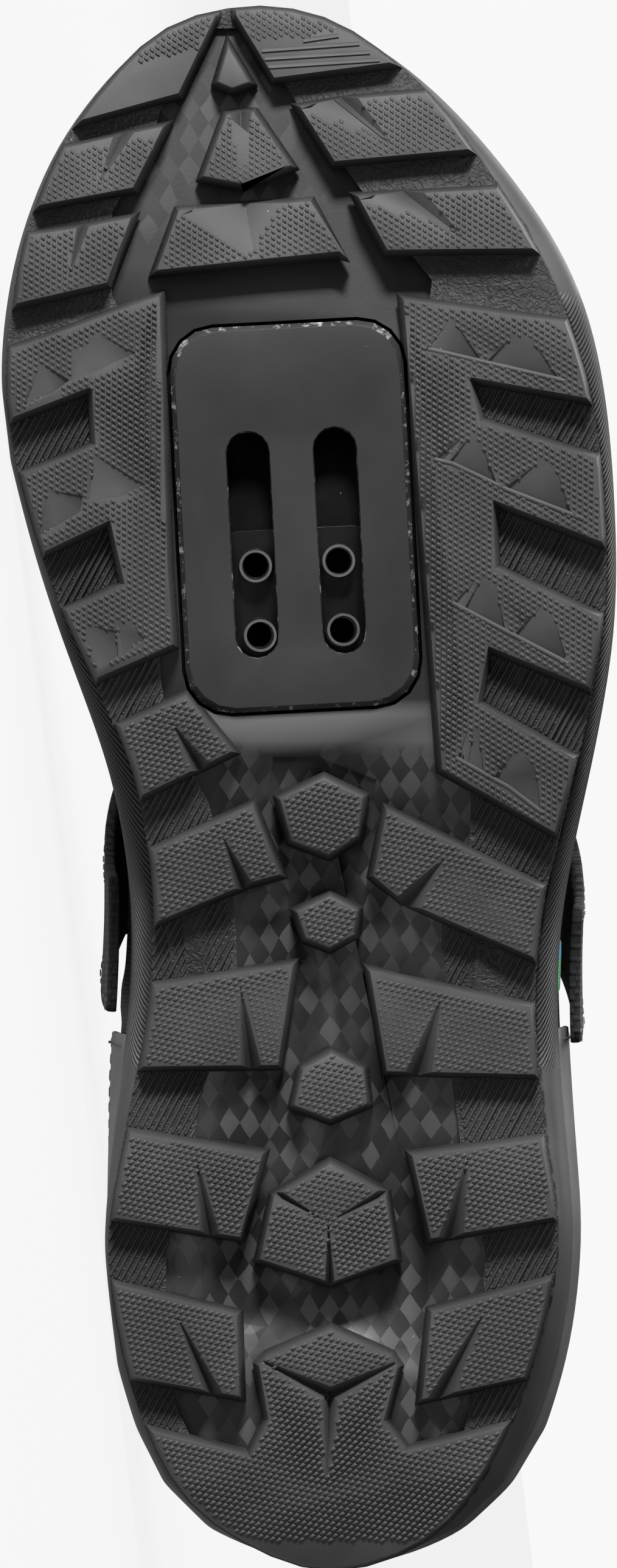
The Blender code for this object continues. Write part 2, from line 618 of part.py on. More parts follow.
def make_outsole(finish):
    """The rubber: a web round the edge with the side lugs, rails and heel block standing on it."""
    tread = outline_loop("tread_in", "tread_out", TREAD_HALF)
    web = loft("outsole", (flat_ring(tread, LUG_HEIGHT - WEB_THICKNESS),
                           flat_ring(tread, LUG_HEIGHT)), finish)
    window = corner_loop(WEB_WINDOW)
    opening = loft("window", (flat_ring(window, -OVERCUT),
                              flat_ring(window, LUG_HEIGHT + OVERCUT)),
                   None, CUTTERS)
    combine(web, [opening], "DIFFERENCE")
    work = bmesh.new()
    for lug in SIDE_LUGS:
        face = corner_loop(lug.corners)
        foot = grown_corners(face, LUG_DRAFT)
        ring_into(work, (flat_ring(face, 0.0), flat_ring(foot, LUG_HEIGHT - WEB_THICKNESS / 2)))
    lugs = link("side_lugs", mesh_from(work, "side_lugs"), None, CUTTERS)
    edge = (flat_ring(grown(tread, -SOLE_EDGE_ROUND), -OVERCUT),
            flat_ring(grown(tread, -SOLE_EDGE_ROUND * 0.6), SOLE_EDGE_ROUND / 2),
            flat_ring(grown(tread, -EDGE_STEP_IN), LUG_HEIGHT - WEB_THICKNESS),
            flat_ring(grown(tread, -EDGE_STEP_IN), LUG_HEIGHT))
    combine(lugs, [loft("tread_edge", edge, None, CUTTERS)], "INTERSECT")
    combine(web, [lugs], "UNION")
    cutters = []
    for pocket in RAIL_POCKETS:
        face = corner_loop(pocket.corners)
        floor = grown_corners(face, -LUG_DRAFT)
        cutters.append(loft("pocket_" + pocket.name,
                            (flat_ring(grown_corners(face, LUG_DRAFT * 0.2), -OVERCUT),
                             flat_ring(floor, LUG_HEIGHT - WEB_THICKNESS + POCKET_SINK)),
                            None, CUTTERS))
    side_names = [lug.name for lug in SIDE_LUGS] + ["heel_crown_inner", "heel_crown_outer"]
    cutters += [notch_cutter(notch) for notch in NOTCHES if notch.lug in side_names]
    cutters.append(pocket_cutter("rail_clearance", POCKET_CLEARANCE, -OVERCUT,
                                 LUG_HEIGHT + OVERCUT))
    combine(web, cutters, "DIFFERENCE")
    return web


def make_centre_lugs(finish):
    made = []
    for lug in CENTRE_LUGS:
        face = corner_loop(lug.corners)
        piece = loft(lug.name, (flat_ring(face, 0.0),
                                flat_ring(grown_corners(face, LUG_DRAFT), LUG_HEIGHT)), finish)
        cutters = [notch_cutter(notch) for notch in NOTCHES if notch.lug == lug.name]
        if cutters:
            combine(piece, cutters, "DIFFERENCE")
        made.append(piece)
    return made


def pocket_cutter(name, clearance, bottom, top):
    loop = in_pocket(rounded_rectangle(POCKET_WIDTH + 2 * clearance, POCKET_LENGTH + 2 * clearance,
                                       POCKET_CORNER + clearance))
    return loft(name, (flat_ring(loop, bottom), flat_ring(loop, top)), None, CUTTERS)


def make_sole_plate(finish):
    """The stiff composite plate that shows between the lugs, with the hole for the insert."""
    loop = grown(outline_loop("tread_in", "tread_out", TREAD_HALF), -PLATE_INSET)
    plate = loft("sole_plate", (flat_ring(loop, plate_bottom()), flat_ring(loop, plate_top())),
                 finish)
    trough = corner_loop(PLATE_TROUGH)
    cutters = [loft("trough", (flat_ring(trough, plate_bottom() - OVERCUT),
                               flat_ring(grown_corners(trough, -TROUGH_DEPTH),
                                         plate_bottom() + TROUGH_DEPTH)), None, CUTTERS),
               pocket_cutter("insert_hole", POCKET_CLEARANCE, 0.0,
                             plate_top() + OVERCUT)]
    combine(plate, cutters, "DIFFERENCE")
    return plate


def slot_shifts():
    """How far each slot's middle lies from the pocket's own middle line."""
    return [side * (CLEAT_BOLT_PITCH / 2 + SLOT_SPREAD) for side in (-1, 1)]


def make_pocket_insert(finish):
    """The moulded insert that the cleat is clamped to, with its two bolt slots."""
    face = in_pocket(rounded_rectangle(POCKET_WIDTH - 2 * INSERT_BEVEL,
                                       POCKET_LENGTH - 2 * INSERT_BEVEL, POCKET_CORNER))
    body = in_pocket(rounded_rectangle(POCKET_WIDTH, POCKET_LENGTH, POCKET_CORNER))
    bottom = plate_bottom() - INSERT_PROUD
    insert = loft("cleat_pocket_insert", (flat_ring(face, bottom),
                                          flat_ring(body, bottom + INSERT_BEVEL),
                                          flat_ring(body, plate_top())), finish)
    cutters = []
    for shift in slot_shifts():
        loop = in_pocket(rounded_rectangle(SLOT_WIDTH, SLOT_LENGTH, SLOT_WIDTH / 2 - 0.0001),
                         (shift, SLOT_SHIFT))
        cutters.append(loft("slot", (flat_ring(grown_corners(loop, SLOT_BEVEL), bottom - OVERCUT),
                                     flat_ring(loop, bottom + OVERCUT),
                                     flat_ring(loop, plate_top() + OVERCUT)), None, CUTTERS))
    combine(insert, cutters, "DIFFERENCE")
    return insert


def nut_plate_loop(length, shift, clearance=0.0):
    """The outline of the nut plate, or of the longer recess that it slides in."""
    width = POCKET_WIDTH - 2 * NUT_PLATE_MARGIN + 2 * clearance
    return in_pocket(rounded_rectangle(width, length + 2 * clearance,
                                       NUT_PLATE_CORNER + clearance), (0.0, shift))


def make_nut_plate(finish):
    """The steel plate above the slots: two rows of two threaded bosses for the cleat's bolts."""
    bottom = foam_bottom()
    loop = nut_plate_loop(NUT_PLATE_LENGTH, NUT_PLATE_SHIFT)
    plate = loft("cleat_nut_plate", (flat_ring(loop, bottom),
                                     flat_ring(loop, bottom + NUT_PLATE_THICKNESS)), finish)
    bosses, holes = [], []
    for side in (-1, 1):
        for row in (-0.5, 0.5):
            place = (side * CLEAT_BOLT_PITCH / 2, row * CLEAT_ROW_STEP + NUT_PLATE_SHIFT)
            through = bottom + NUT_PLATE_THICKNESS + OVERCUT
            for name, radius, low, high, made in (
                    ("boss", BOSS_RADIUS, bottom - BOSS_REACH, bottom + OVERCUT, bosses),
                    ("bolt_hole", BOSS_HOLE_RADIUS, 0.0, through, holes)):
                circle = [Vector((cos(turn * pi / 8), sin(turn * pi / 8))) * radius
                          for turn in range(16)]
                loop = in_pocket(circle, place)
                made.append(loft(name, (flat_ring(loop, low), flat_ring(loop, high)), None,
                                 CUTTERS))
    combine(plate, bosses, "UNION")
    combine(plate, holes, "DIFFERENCE")
    return plate


def upright_ring(loop, height):
    """A ring whose height is a function of the place along the shoe."""
    return [Vector((point.x, point.y, height(point.y))) for point in loop]


def make_midsole(last, finish):
    """Foam and side wall in one: it flares out above the tread, steps in and ends in a low rim."""
    tread = outline_loop("tread_in", "tread_out")
    sole = outline_loop("sole_in", "sole_out")
    bottom = foam_bottom()

    def rise(share):
        return lambda along: bottom + (shelf(along) + RIM_HEIGHT - bottom) * share

    rings = [flat_ring(grown(tread, -SIDE_INSET), bottom)]
    for out, level in SIDE_LEVELS:
        rings.append(upright_ring([a.lerp(b, out) for a, b in zip(tread, sole)], rise(level)))
    rings += [
        upright_ring(grown(sole, -SIDE_STEP), rise(SIDE_STEP_LEVEL)),
        [last.above_feather(index, 1.0, RIM_THICKNESS) for index in range(last.count)],
        [last.above_feather(index, 1.0, RIM_GAP) for index in range(last.count)],
        [last.above_feather(index, 0.0, RIM_GAP) for index in range(last.count)],
    ]
    foam = loft("midsole", rings, finish)
    recess = nut_plate_loop(NUT_RECESS_LENGTH, NUT_RECESS_SHIFT, NUT_RECESS_CLEARANCE)
    height = bottom + NUT_PLATE_THICKNESS + GAP
    combine(foam, [loft("nut_recess", (flat_ring(recess, bottom - OVERCUT),
                                       flat_ring(recess, height)), None, CUTTERS)], "DIFFERENCE")
    return foam


def feather_loop():
    """The line where the upper stands on the foam, inside the rim."""
    sole = outline_loop("sole_in", "sole_out")
    return grown(sole, -SIDE_STEP - RIM_THICKNESS)


class Last:
    """The outer surface of the upper: rays from the feather line to the collar and throat edge."""

    def __init__(self):
        self.feather = feather_loop()
        self.count = len(self.feather)
        self.rays = [self.ray(index) for index in range(self.count)]
        self.grid = [[self.point(index, row / WALL_ROWS) for index in range(self.count)]
                     for row in range(WALL_ROWS + 1)]

    def ray(self, index):
        """The four control points of one ray."""
        foot = self.feather[index]
        inner = index < self.count / 2
        share = foot.y / LENGTH
        side = 1.0 if inner else -1.0

        def read(column):
            return read_column(SECTIONS, column, share)

        across = read("edge_in" if inner else "edge_out") * BALL_WIDTH
        along = read("edge_along")
        centre = THROAT_LEAN * BALL_WIDTH * min(max((along - 0.4) / 0.27, 0.0), 1.0)
        edge = Vector((centre + side * across, along * LENGTH,
                       read("height") * INSTEP_HEIGHT))
        start = Vector((foot.x, foot.y, shelf(foot.y) + GAP))
        flat_out = outward(self.feather, index).to_3d()
        bulge = read("bulge_in" if inner else "bulge_out") * BALL_WIDTH * 2
        low = start + flat_out * bulge + Vector((0, 0, read("lift") * INSTEP_HEIGHT))
        away = Vector((start.x - edge.x, start.y - edge.y, 0)).normalized()
        high = edge + away * read("reach") * INSTEP_HEIGHT
        high.z -= read("drop") * INSTEP_HEIGHT
        return start, low, high, edge

    def point(self, index, share):
        start, low, high, edge = self.rays[index % self.count]
        rest = 1 - share
        return start * rest ** 3 + low * (3 * rest ** 2 * share) \
            + high * (3 * rest * share ** 2) + edge * share ** 3

    def above_feather(self, index, share, distance):
        """A point beside the lowest facet of the upper, up to the height of the midsole's rim."""
        start, row = self.grid[0][index], self.grid[1][index]
        part = RIM_HEIGHT * share / (row.z - start.z)
        point = start.lerp(row, part) + outward(self.feather, index).to_3d() * distance
        point.z -= GAP
        return point

    def normal(self, index, share):
        """The outward normal at a place on the surface."""
        step = 0.02
        low, high = max(share - step, 0.0), min(share + step, 1.0)
        up = self.point(index, high) - self.point(index, low)
        along = self.point(index + 1, share) - self.point(index - 1, share)
        return along.cross(up).normalized()

    def offset(self, index, share, distance):
        return self.point(index, share) + self.normal(index, share) * distance

    def at(self, place, share, distance):
        """A point at a distance from the surface, at a place between two rays."""
        here = floor(place)
        return self.offset(here, share, distance).lerp(self.offset(here + 1, share, distance),
                                                       place - here)

    def place_by(self, inner, along, end):
        """The place of the ray whose foot or edge lies at a distance along the shoe."""
        half = self.count // 2
        places = range(0, half) if inner else range(0, -half, -1)
        step = 1 if inner else -1
        for here in places:
            low = self.rays[here][end].y
            high = self.rays[here + step][end].y
            if low <= along <= high:
                return here + step * (along - low) / (high - low)
        return half * step * 0.98


def wall_at(last, index, share):
    """The wall is thicker where the collar is padded."""
    edge = last.rays[index % last.count][3]
    collar = min(max((0.42 - edge.y / LENGTH) / 0.12, 0.0), 1.0)
    top = max(share - PADDING_START, 0.0) / (1 - PADDING_START)
    return WALL + COLLAR_PADDING * collar * sin(pi * min(top, 0.75))


def make_upper(last, finish):
    """One hollow shell, open underneath and at the collar and throat."""
    outer = [[last.point(index, row / WALL_ROWS) for index in range(last.count)]
             for row in range(WALL_ROWS + 1)]
    inner = []
    for row in range(WALL_ROWS + 1):
        share = row / WALL_ROWS
        ring = [last.offset(index, share, -wall_at(last, index, share))
                for index in range(last.count)]
        if row == 0:
            for index, point in enumerate(ring):
                point.z = outer[0][index].z
        inner.append(ring)
    return tube_of_rings("upper", outer + list(reversed(inner)), finish)


def make_insole(last, finish):
    """The footbed on the foam, turned up a little at its edge."""
    inside = grown(last.feather, -WALL - 2 * GAP)
    middle = grown(last.feather, -WALL - INSOLE_EDGE)
    rings = (
        upright_ring(middle, lambda along: shelf(along) + GAP),
        upright_ring(grown(inside, -INSOLE_ROUND), lambda along: shelf(along) + GAP),
        upright_ring(grown(inside, -INSOLE_ROUND / 4),
                     lambda along: shelf(along) + GAP + INSOLE_ROUND),
        upright_ring(grown(inside, -INSOLE_ROUND / 2),
                     lambda along: shelf(along) + GAP + INSOLE_THICKNESS + INSOLE_LIP),
        upright_ring(grown(inside, -INSOLE_ROUND * 2),
                     lambda along: shelf(along) + GAP + INSOLE_THICKNESS + INSOLE_LIP),
        upright_ring(middle, lambda along: shelf(along) + GAP + INSOLE_THICKNESS),
    )
    return loft("insole", rings, finish)


def throat_bridge(left, right, crown, steps=6):
    """Points over the throat between two of the upper's edges, raised in the middle."""
    bridge = []
    for step in range(steps + 1):
        share = step / steps
        point = left.lerp(right, share)
        point.z += crown * 4 * share * (1 - share)
        bridge.append(point)
    return bridge


def make_tongue(last, finish):
    """A padded sheet under the throat, standing a little above the collar at its top."""
    sheets = []
    for depth in (0.0, TONGUE_THICKNESS):
        sheet = []
        for row in TONGUE_ROWS:
            places = [last.place_by(inner, row.along * LENGTH, EDGE) for inner in (True, False)]
            tucked = []
            for place in places:
                shares = (row.tuck, (1 + row.tuck) / 2, 1.0)
                walls = [wall_at(last, round(place), share) for share in shares]
                tucked.append([last.at(place, share, -wall - TONGUE_GAP - depth)
                               for share, wall in zip(shares, walls)])
            bridge = throat_bridge(tucked[0][-1], tucked[1][-1], THROAT_CROWN)
            line = tucked[0][:-1] + bridge + tucked[1][-2::-1]
            shift = Vector((0, -row.back * INSTEP_HEIGHT, row.lift * INSTEP_HEIGHT))
            sheet.append([Vector((point.x * row.spread, point.y, point.z)) + shift
                          for point in line])
        sheets.append(sheet)
    return slab("tongue", sheets[0], sheets[1], finish)


def overlay(last, name, places, low, high, finish):
    """A patch cut from the upper's own surface, standing proud of it."""
    grids = []
    for distance in (GAP + OVERLAY_THICKNESS, GAP):
        grid = []
        for row in range(OVERLAY_ROWS + 1):
            part = row / OVERLAY_ROWS
            grid.append([last.offset(place, low(place) + (high(place) - low(place)) * part,
                                     distance) for place in places])
        grids.append(grid)
    return slab(name, grids[0], grids[1], finish)


def rim_share(last, index):
    """The share of a ray at which the surface has cleared the rim of the midsole."""
    clear = shelf(last.feather[index % last.count].y) + RIM_HEIGHT + 2 * GAP
    share = 0.0
    while last.point(index, share).z < clear:
        share += 0.01
    return share


def make_overlays(last, finish):
    """The toe bumper and the heel counter; the counter reaches further on the inner side."""
    half = last.count // 2
    toe = overlay(last, "toe_cap", list(range(half - TOE_CAP_REACH, half + TOE_CAP_REACH + 1)),
                  lambda place: rim_share(last, place),
                  lambda place: 0.40 - 0.12 * (abs(place - half) / TOE_CAP_REACH) ** 2, finish)
    places = list(range(-COUNTER_REACH_OUT, COUNTER_REACH_IN + 1))
    heel = overlay(last, "heel_counter", places,
                   lambda place: rim_share(last, place),
                   lambda place: 0.66 - 0.32 * (abs(place) / COUNTER_REACH_IN) ** 3, finish)
    return toe, heel


def make_strap(last, strap, finish):
    """A hook-and-loop strap from the inner side over the throat to its end on the outer side."""
    sheets = []
    for depth in (STRAP_THICKNESS, 0.0):
        sheet = []
        for row in range(STRAP_ROWS + 1):
            shift = (row / STRAP_ROWS - 0.5) * STRAP_WIDTH
            sides = []
            for inner, foot in ((True, strap.foot_in), (False, strap.foot_out)):
                low = last.place_by(inner, foot * LENGTH + shift, FOOT)
                high = last.place_by(inner, strap.crossing * LENGTH + shift, EDGE)
                line = []
                for step in range(STRAP_STEPS + 1):
                    part = step / STRAP_STEPS
                    share = strap.end + (1 - strap.end) * part
                    under = min(max((COUNTER_TOP - share) / COUNTER_FADE, 0.0), 1.0)
                    counter = (OVERLAY_THICKNESS + GAP) * under * strap.over_counter
                    distance = STRAP_GAP + depth + counter
                    ease = part * part * (3 - 2 * part)
                    line.append(last.at(low + (high - low) * ease, share, distance))
                sides.append(line)
            bridge = throat_bridge(sides[0][-1], sides[1][-1], THROAT_CROWN + STRAP_CROWN)
            sheet.append(sides[0][:-1] + bridge + sides[1][-2::-1])
        sheets.append(sheet)
    return slab(strap.name, sheets[0], sheets[1], finish)


def make_tab(last, finish):
    """The small woven tab sewn to the upper under the free end of the instep strap."""
    places = [last.place_by(False, along * LENGTH, FOOT) for along in TAB_ALONG]
    sheets = []
    for distance in (GAP + TAB_THICKNESS, GAP):
        sheets.append([[last.at(place, share, distance) for place in places]
                       for share in TAB_SHARES])
    return slab("strap_tab", sheets[0], sheets[1], finish)


def rest_matrix(pieces):
    """Turns the shoe onto the face of its hull on which it lies still on the inner side."""
    work = bmesh.new()
    volume_sum = 0.0
    centre = Vector((0, 0, 0))
    for piece in pieces:
        part = bmesh.new()
        part.from_mesh(piece.data)
        bmesh.ops.triangulate(part, faces=part.faces)
        for face in part.faces:
            a, b, c = (vertex.co for vertex in face.verts)
            volume = a.dot(b.cross(c)) / 6
            volume_sum += volume
            centre += (a + b + c) / 4 * volume
        for vertex in part.verts:
            work.verts.new(vertex.co)
        part.free()
    centre /= volume_sum
    hull = bmesh.ops.convex_hull(work, input=work.verts)
    planes = []
    for face in hull["geom"]:
        if isinstance(face, bmesh.types.BMFace):
            face.normal_update()
            corner = face.verts[0].co
            normal = face.normal if face.normal.dot(corner - centre) > 0 else -face.normal
            if normal.x > 0.8:
                planes.append((normal.dot(corner - centre), normal.copy(), corner.copy()))
    reach, down, corner = min(planes, key=lambda plane: plane[0])
    floor = down.dot(corner) - FLOOR_FLAT
    work.free()
    toe = (Vector((0, 1, 0)) - down * down.y).normalized()
    top = down.cross(toe)
    turn = Matrix((-toe, top, -down)).to_4x4()
    return Matrix.Translation((0, 0, floor)) @ turn


def flatten_on_floor(piece, lay):
    """Trims what lies below the floor, which leaves the flat spots that the shoe rests on."""
    down = (lay.to_3x3().transposed() @ Vector((0, 0, -1))).normalized()
    place = lay.inverted() @ Vector((0, 0, 0))
    work = bmesh.new()
    work.from_mesh(piece.data)
    if any((vertex.co - place).dot(down) > 0 for vertex in work.verts):
        geometry = [*work.verts, *work.edges, *work.faces]
        cut = bmesh.ops.bisect_plane(work, geom=geometry, dist=0.000001, plane_co=place,
                                     plane_no=down, clear_outer=True)
        edges = [item for item in cut["geom_cut"] if isinstance(item, bmesh.types.BMEdge)]
        bmesh.ops.holes_fill(work, edges=edges, sides=0)
        bmesh.ops.triangulate(work, faces=[face for face in work.faces if len(face.verts) > 4])
        work.to_mesh(piece.data)
    work.free()


def build():
    clear_scene()
    rubber = material("tread rubber", (0.055, 0.055, 0.057), 0.62)
    composite = material("composite plate", (0.045, 0.045, 0.050), 0.38)
    moulded = material("moulded insert", (0.060, 0.060, 0.062), 0.45)
    steel = material("blackened steel", (0.040, 0.040, 0.042), 0.35, 0.8)
    foam = material("side wall", (0.070, 0.070, 0.073), 0.60)
    cloth = material("upper cloth", (0.035, 0.035, 0.038), 0.75)
    panel = material("satin panel", (0.130, 0.130, 0.136), 0.42)
    webbing = material("strap webbing", (0.022, 0.022, 0.024), 0.70)
    tab_cloth = material("tab weave", (0.10, 0.42, 0.46), 0.65)
    lining = material("footbed cloth", (0.050, 0.050, 0.055), 0.85)

    last = Last()
    pieces = [make_outsole(rubber), *make_centre_lugs(rubber), make_sole_plate(composite),
              make_pocket_insert(moulded), make_nut_plate(steel), make_midsole(last, foam),
              make_insole(last, lining), make_upper(last, cloth), make_tongue(last, cloth),
              *make_overlays(last, panel)]
    pieces += [make_strap(last, strap, webbing) for strap in STRAPS]
    pieces.append(make_tab(last, tab_cloth))
    for piece in pieces:
        bend(piece)
    lay = rest_matrix(pieces)
    for piece in pieces:
        flatten_on_floor(piece, lay)
    corners = [lay @ vertex.co for piece in pieces for vertex in piece.data.vertices]
    middle = [(min(point[axis] for point in corners) + max(point[axis] for point in corners)) / 2
              for axis in (0, 1)]
    laid = bpy.data.objects.new("laid_on_its_side", None)
    SHOE.objects.link(laid)
    laid.matrix_world = Matrix.Translation((-middle[0], -middle[1], 0)) @ lay
    for piece in pieces:
        piece.parent = laid
        piece.data.shade_smooth()
        piece.data.set_sharp_from_angle(angle=radians(32))
    bpy.context.view_layer.update()


build()
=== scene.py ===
# %% [markdown]
# # A left cycling shoe that lies on its inner side and shows its sole
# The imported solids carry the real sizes. This script dresses them: bevelled rubber lugs with their
# knurl, ribbed web, checked composite plate, cleat pocket, and above the sole the cloth upper.
# Most work is done in the shoe's own flat frame and bent onto the shoe at the end.

# %% Setup
import json
from math import atan2, cos, pi, radians, sin

import bmesh
import bpy
import numpy as np
from mathutils import Matrix, Vector
from mathutils.bvhtree import BVHTree
from mathutils.kdtree import KDTree


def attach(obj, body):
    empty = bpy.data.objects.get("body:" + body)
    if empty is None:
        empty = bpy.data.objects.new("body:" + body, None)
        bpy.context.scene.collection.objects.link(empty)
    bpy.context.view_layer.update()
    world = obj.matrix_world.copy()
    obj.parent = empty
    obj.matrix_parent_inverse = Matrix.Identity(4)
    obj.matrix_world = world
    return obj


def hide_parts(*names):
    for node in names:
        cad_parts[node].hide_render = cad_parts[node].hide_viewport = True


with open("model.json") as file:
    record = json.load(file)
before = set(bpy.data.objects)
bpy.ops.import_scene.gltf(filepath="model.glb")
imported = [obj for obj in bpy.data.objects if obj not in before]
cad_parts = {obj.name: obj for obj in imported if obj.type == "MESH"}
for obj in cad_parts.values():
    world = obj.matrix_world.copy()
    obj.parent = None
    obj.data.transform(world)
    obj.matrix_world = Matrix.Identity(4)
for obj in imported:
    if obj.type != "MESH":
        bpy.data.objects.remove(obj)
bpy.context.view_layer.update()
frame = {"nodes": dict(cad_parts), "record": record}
nodes = frame["nodes"]
MM = 0.001

# %% [markdown]
# ## The shoe's own frame
# Two flat places on the sole are mounts of the record, so their places in the shoe's upright frame
# fix how the shoe lies. +X is the inner side, +Y the toe, +Z up. A piece drawn flat in that frame
# is lifted by the same toe spring, arch and heel bevel that bend the solids.

# %% Frame of the shoe
LENGTH = 264.7 * MM
SEAT_PLACE = Vector((5.317, 165.762, 4.3)) * MM
HEEL_PLACE = Vector((30.247, 39.705, 0.0)) * MM
WEB_DEPTH = 4.1 * MM
TOE_SPRING, TOE_SPRING_START = 16.5 * MM, 0.700
HEEL_RISE, HEEL_RISE_START = 3.5 * MM, 0.085
ARCH_RISE, ARCH_START, ARCH_END = 2.8 * MM, 0.200, 0.560

mounts = {mount["name"]: mount for mount in frame["record"]["mounts"]}
seat = Vector(mounts["cleat_seat"]["pos_m"])
heel = Vector(mounts["heel_tread"]["pos_m"])
up = -Vector(mounts["cleat_seat"]["axis"]).normalized()
run = seat - heel
run = (run - up * run.dot(up)).normalized()
across = up.cross(run)
planned = SEAT_PLACE - HEEL_PLACE
angle = atan2(planned.y, planned.x)
inner_way = run * cos(angle) - across * sin(angle)
toe_way = run * sin(angle) + across * cos(angle)
TURN = Matrix((inner_way, toe_way, up)).transposed()
ORIGIN = seat - TURN @ SEAT_PLACE
turn_array = np.array(TURN)
origin_array = np.array(ORIGIN)


def bend_height(along):
    """How far the shoe is lifted at a place along it."""
    share = np.asarray(along) / LENGTH
    toe = np.maximum(share - TOE_SPRING_START, 0.0) / (1 - TOE_SPRING_START)
    back = np.maximum(HEEL_RISE_START - share, 0.0) / HEEL_RISE_START
    arch = np.clip((share - ARCH_START) / (ARCH_END - ARCH_START), 0.0, 1.0)
    return TOE_SPRING * toe ** 2 + HEEL_RISE * back ** 2 + ARCH_RISE * np.sin(pi * arch) ** 2


def to_flat(points):
    flat = (np.asarray(points, float) - origin_array) @ turn_array
    flat[:, 2] -= bend_height(flat[:, 1])
    return flat


def to_world(points):
    bent = np.array(points, float)
    bent[:, 2] += bend_height(bent[:, 1])
    return bent @ turn_array.T + origin_array


# %% [markdown]
# ## Helpers for meshes
# Every finished piece is a plain mesh at the origin. It keeps its flat shoe coordinates in an
# attribute named flat, and the materials draw their patterns from that attribute, so a pattern
# stays in step from one piece to the next.

# %% Mesh helpers
def read_points(mesh, what="co"):
    points = np.empty(len(mesh.vertices) * 3)
    mesh.vertices.foreach_get(what, points)
    return points.reshape(-1, 3)


def write_points(mesh, points):
    mesh.vertices.foreach_set("co", np.asarray(points, float).ravel())
    mesh.update()


def store(piece, name, values):
    """Keeps a number or a vector for each corner of a piece, for its material."""
    values = np.asarray(values, float)
    kind, field = ("FLOAT", "value") if values.ndim == 1 else ("FLOAT_VECTOR", "vector")
    made = piece.data.attributes.get(name) or piece.data.attributes.new(name, kind, "POINT")
    made.data.foreach_set(field, values.ravel())


def new_object(name, data):
    made = bpy.data.objects.new(name, data)
    bpy.context.scene.collection.objects.link(made)
    return made


def mesh_object(name, points, faces=(), edges=()):
    mesh = bpy.data.meshes.new(name)
    mesh.from_pydata([tuple(point) for point in points], edges, faces)
    mesh.update()
    return new_object(name, mesh)


def evaluated(piece):
    """The piece with its modifiers applied, as a plain mesh without them."""
    bpy.context.view_layer.update()
    graph = bpy.context.evaluated_depsgraph_get()
    mesh = bpy.data.meshes.new_from_object(piece.evaluated_get(graph))
    piece.modifiers.clear()
    piece.data = mesh
    return mesh


def merged_copy(node, name):
    """A copy of a CAD node in the flat frame, with its corners joined."""
    work = bmesh.new()
    work.from_mesh(nodes[node].data)
    bmesh.ops.remove_doubles(work, verts=work.verts, dist=0.00001)
    mesh = bpy.data.meshes.new(name)
    work.to_mesh(mesh)
    work.free()
    write_points(mesh, to_flat(read_points(mesh)))
    return new_object(name, mesh)


def join_flat_faces(piece):
    work = bmesh.new()
    work.from_mesh(piece.data)
    bmesh.ops.dissolve_limit(work, angle_limit=radians(2), verts=work.verts, edges=work.edges)
    work.to_mesh(piece.data)
    work.free()


def flat_copy(node, name):
    piece = merged_copy(node, name)
    join_flat_faces(piece)
    return piece


def bevelled(piece, width, segments=2, angle=32):
    bevel = piece.modifiers.new("edge", "BEVEL")
    bevel.width = width
    bevel.segments = segments
    bevel.limit_method = "ANGLE"
    bevel.angle_limit = radians(angle)
    bevel.use_clamp_overlap = True
    evaluated(piece)


def finish_piece(piece, finish, stands_for=(), sharp=40):
    mesh = piece.data
    points = read_points(mesh)
    store(piece, "flat", points)
    write_points(mesh, to_world(points))
    mesh.shade_smooth()
    mesh.set_sharp_from_angle(angle=radians(sharp))
    mesh.materials.clear()
    mesh.materials.append(finish)
    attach(piece, "root")
    if stands_for:
        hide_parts(*stands_for)
    print(piece.name, len(mesh.polygons), "faces")


# %% [markdown]
# ## Materials
# Each material is a Principled shader. What more than one of them uses is a node group: a fine
# grain for rubber and plastic, dust specks and worn patches, a plain weave for cloth. The groups
# give colours, masks and normals only.

# %% Material helpers
class Net:
    """Adds nodes to a tree in short calls; inputs are values or sockets of other nodes."""

    def __init__(self, tree):
        self.tree = tree

    def feed(self, value, socket):
        if isinstance(value, bpy.types.NodeSocket):
            self.tree.links.new(value, socket)
        else:
            socket.default_value = value

    def node(self, kind, inputs=None, **settings):
        made = self.tree.nodes.new(kind)
        for name, value in settings.items():
            setattr(made, name, value)
        for name, value in (inputs or {}).items():
            self.feed(value, made.inputs[name])
        return made

    def use(self, name, **inputs):
        """Places a shared node group with values of its own."""
        return self.node("ShaderNodeGroup", inputs, node_tree=bpy.data.node_groups[name]).outputs

    def maths(self, operation, first, second=0.0):
        return self.node("ShaderNodeMath", {0: first, 1: second}, operation=operation).outputs[0]

    def plus(self, first, second):
        return self.maths("ADD", first, second)

    def minus(self, first, second):
        return self.maths("SUBTRACT", first, second)

    def times(self, first, second):
        return self.maths("MULTIPLY", first, second)

    def range(self, value, low, high, new_low=0.0, new_high=1.0):
        inputs = {"Value": value, "From Min": low, "From Max": high, "To Min": new_low,
                  "To Max": new_high}
        return self.node("ShaderNodeMapRange", inputs).outputs[0]

    def blend(self, factor, first, second):
        inputs = {0: factor, 6: first, 7: second}
        return self.node("ShaderNodeMix", inputs, data_type="RGBA").outputs[2]

    def attribute(self, name, output="Fac"):
        return self.node("ShaderNodeAttribute", attribute_name=name).outputs[output]

    def place(self):
        """The shoe's flat coordinates at a point: inner way, toe way, and up from the ground."""
        return self.attribute("flat", "Vector")

    def split(self, vector):
        return self.node("ShaderNodeSeparateXYZ", {0: vector}).outputs

    def noise(self, place, scale, **more):
        inputs = {"Vector": place, "Scale": scale, **more}
        return self.node("ShaderNodeTexNoise", inputs).outputs[0]

    def bump(self, height, depth, **normal):
        inputs = {"Strength": 1.0, "Distance": depth, "Height": height, **normal}
        return self.node("ShaderNodeBump", inputs).outputs[0]


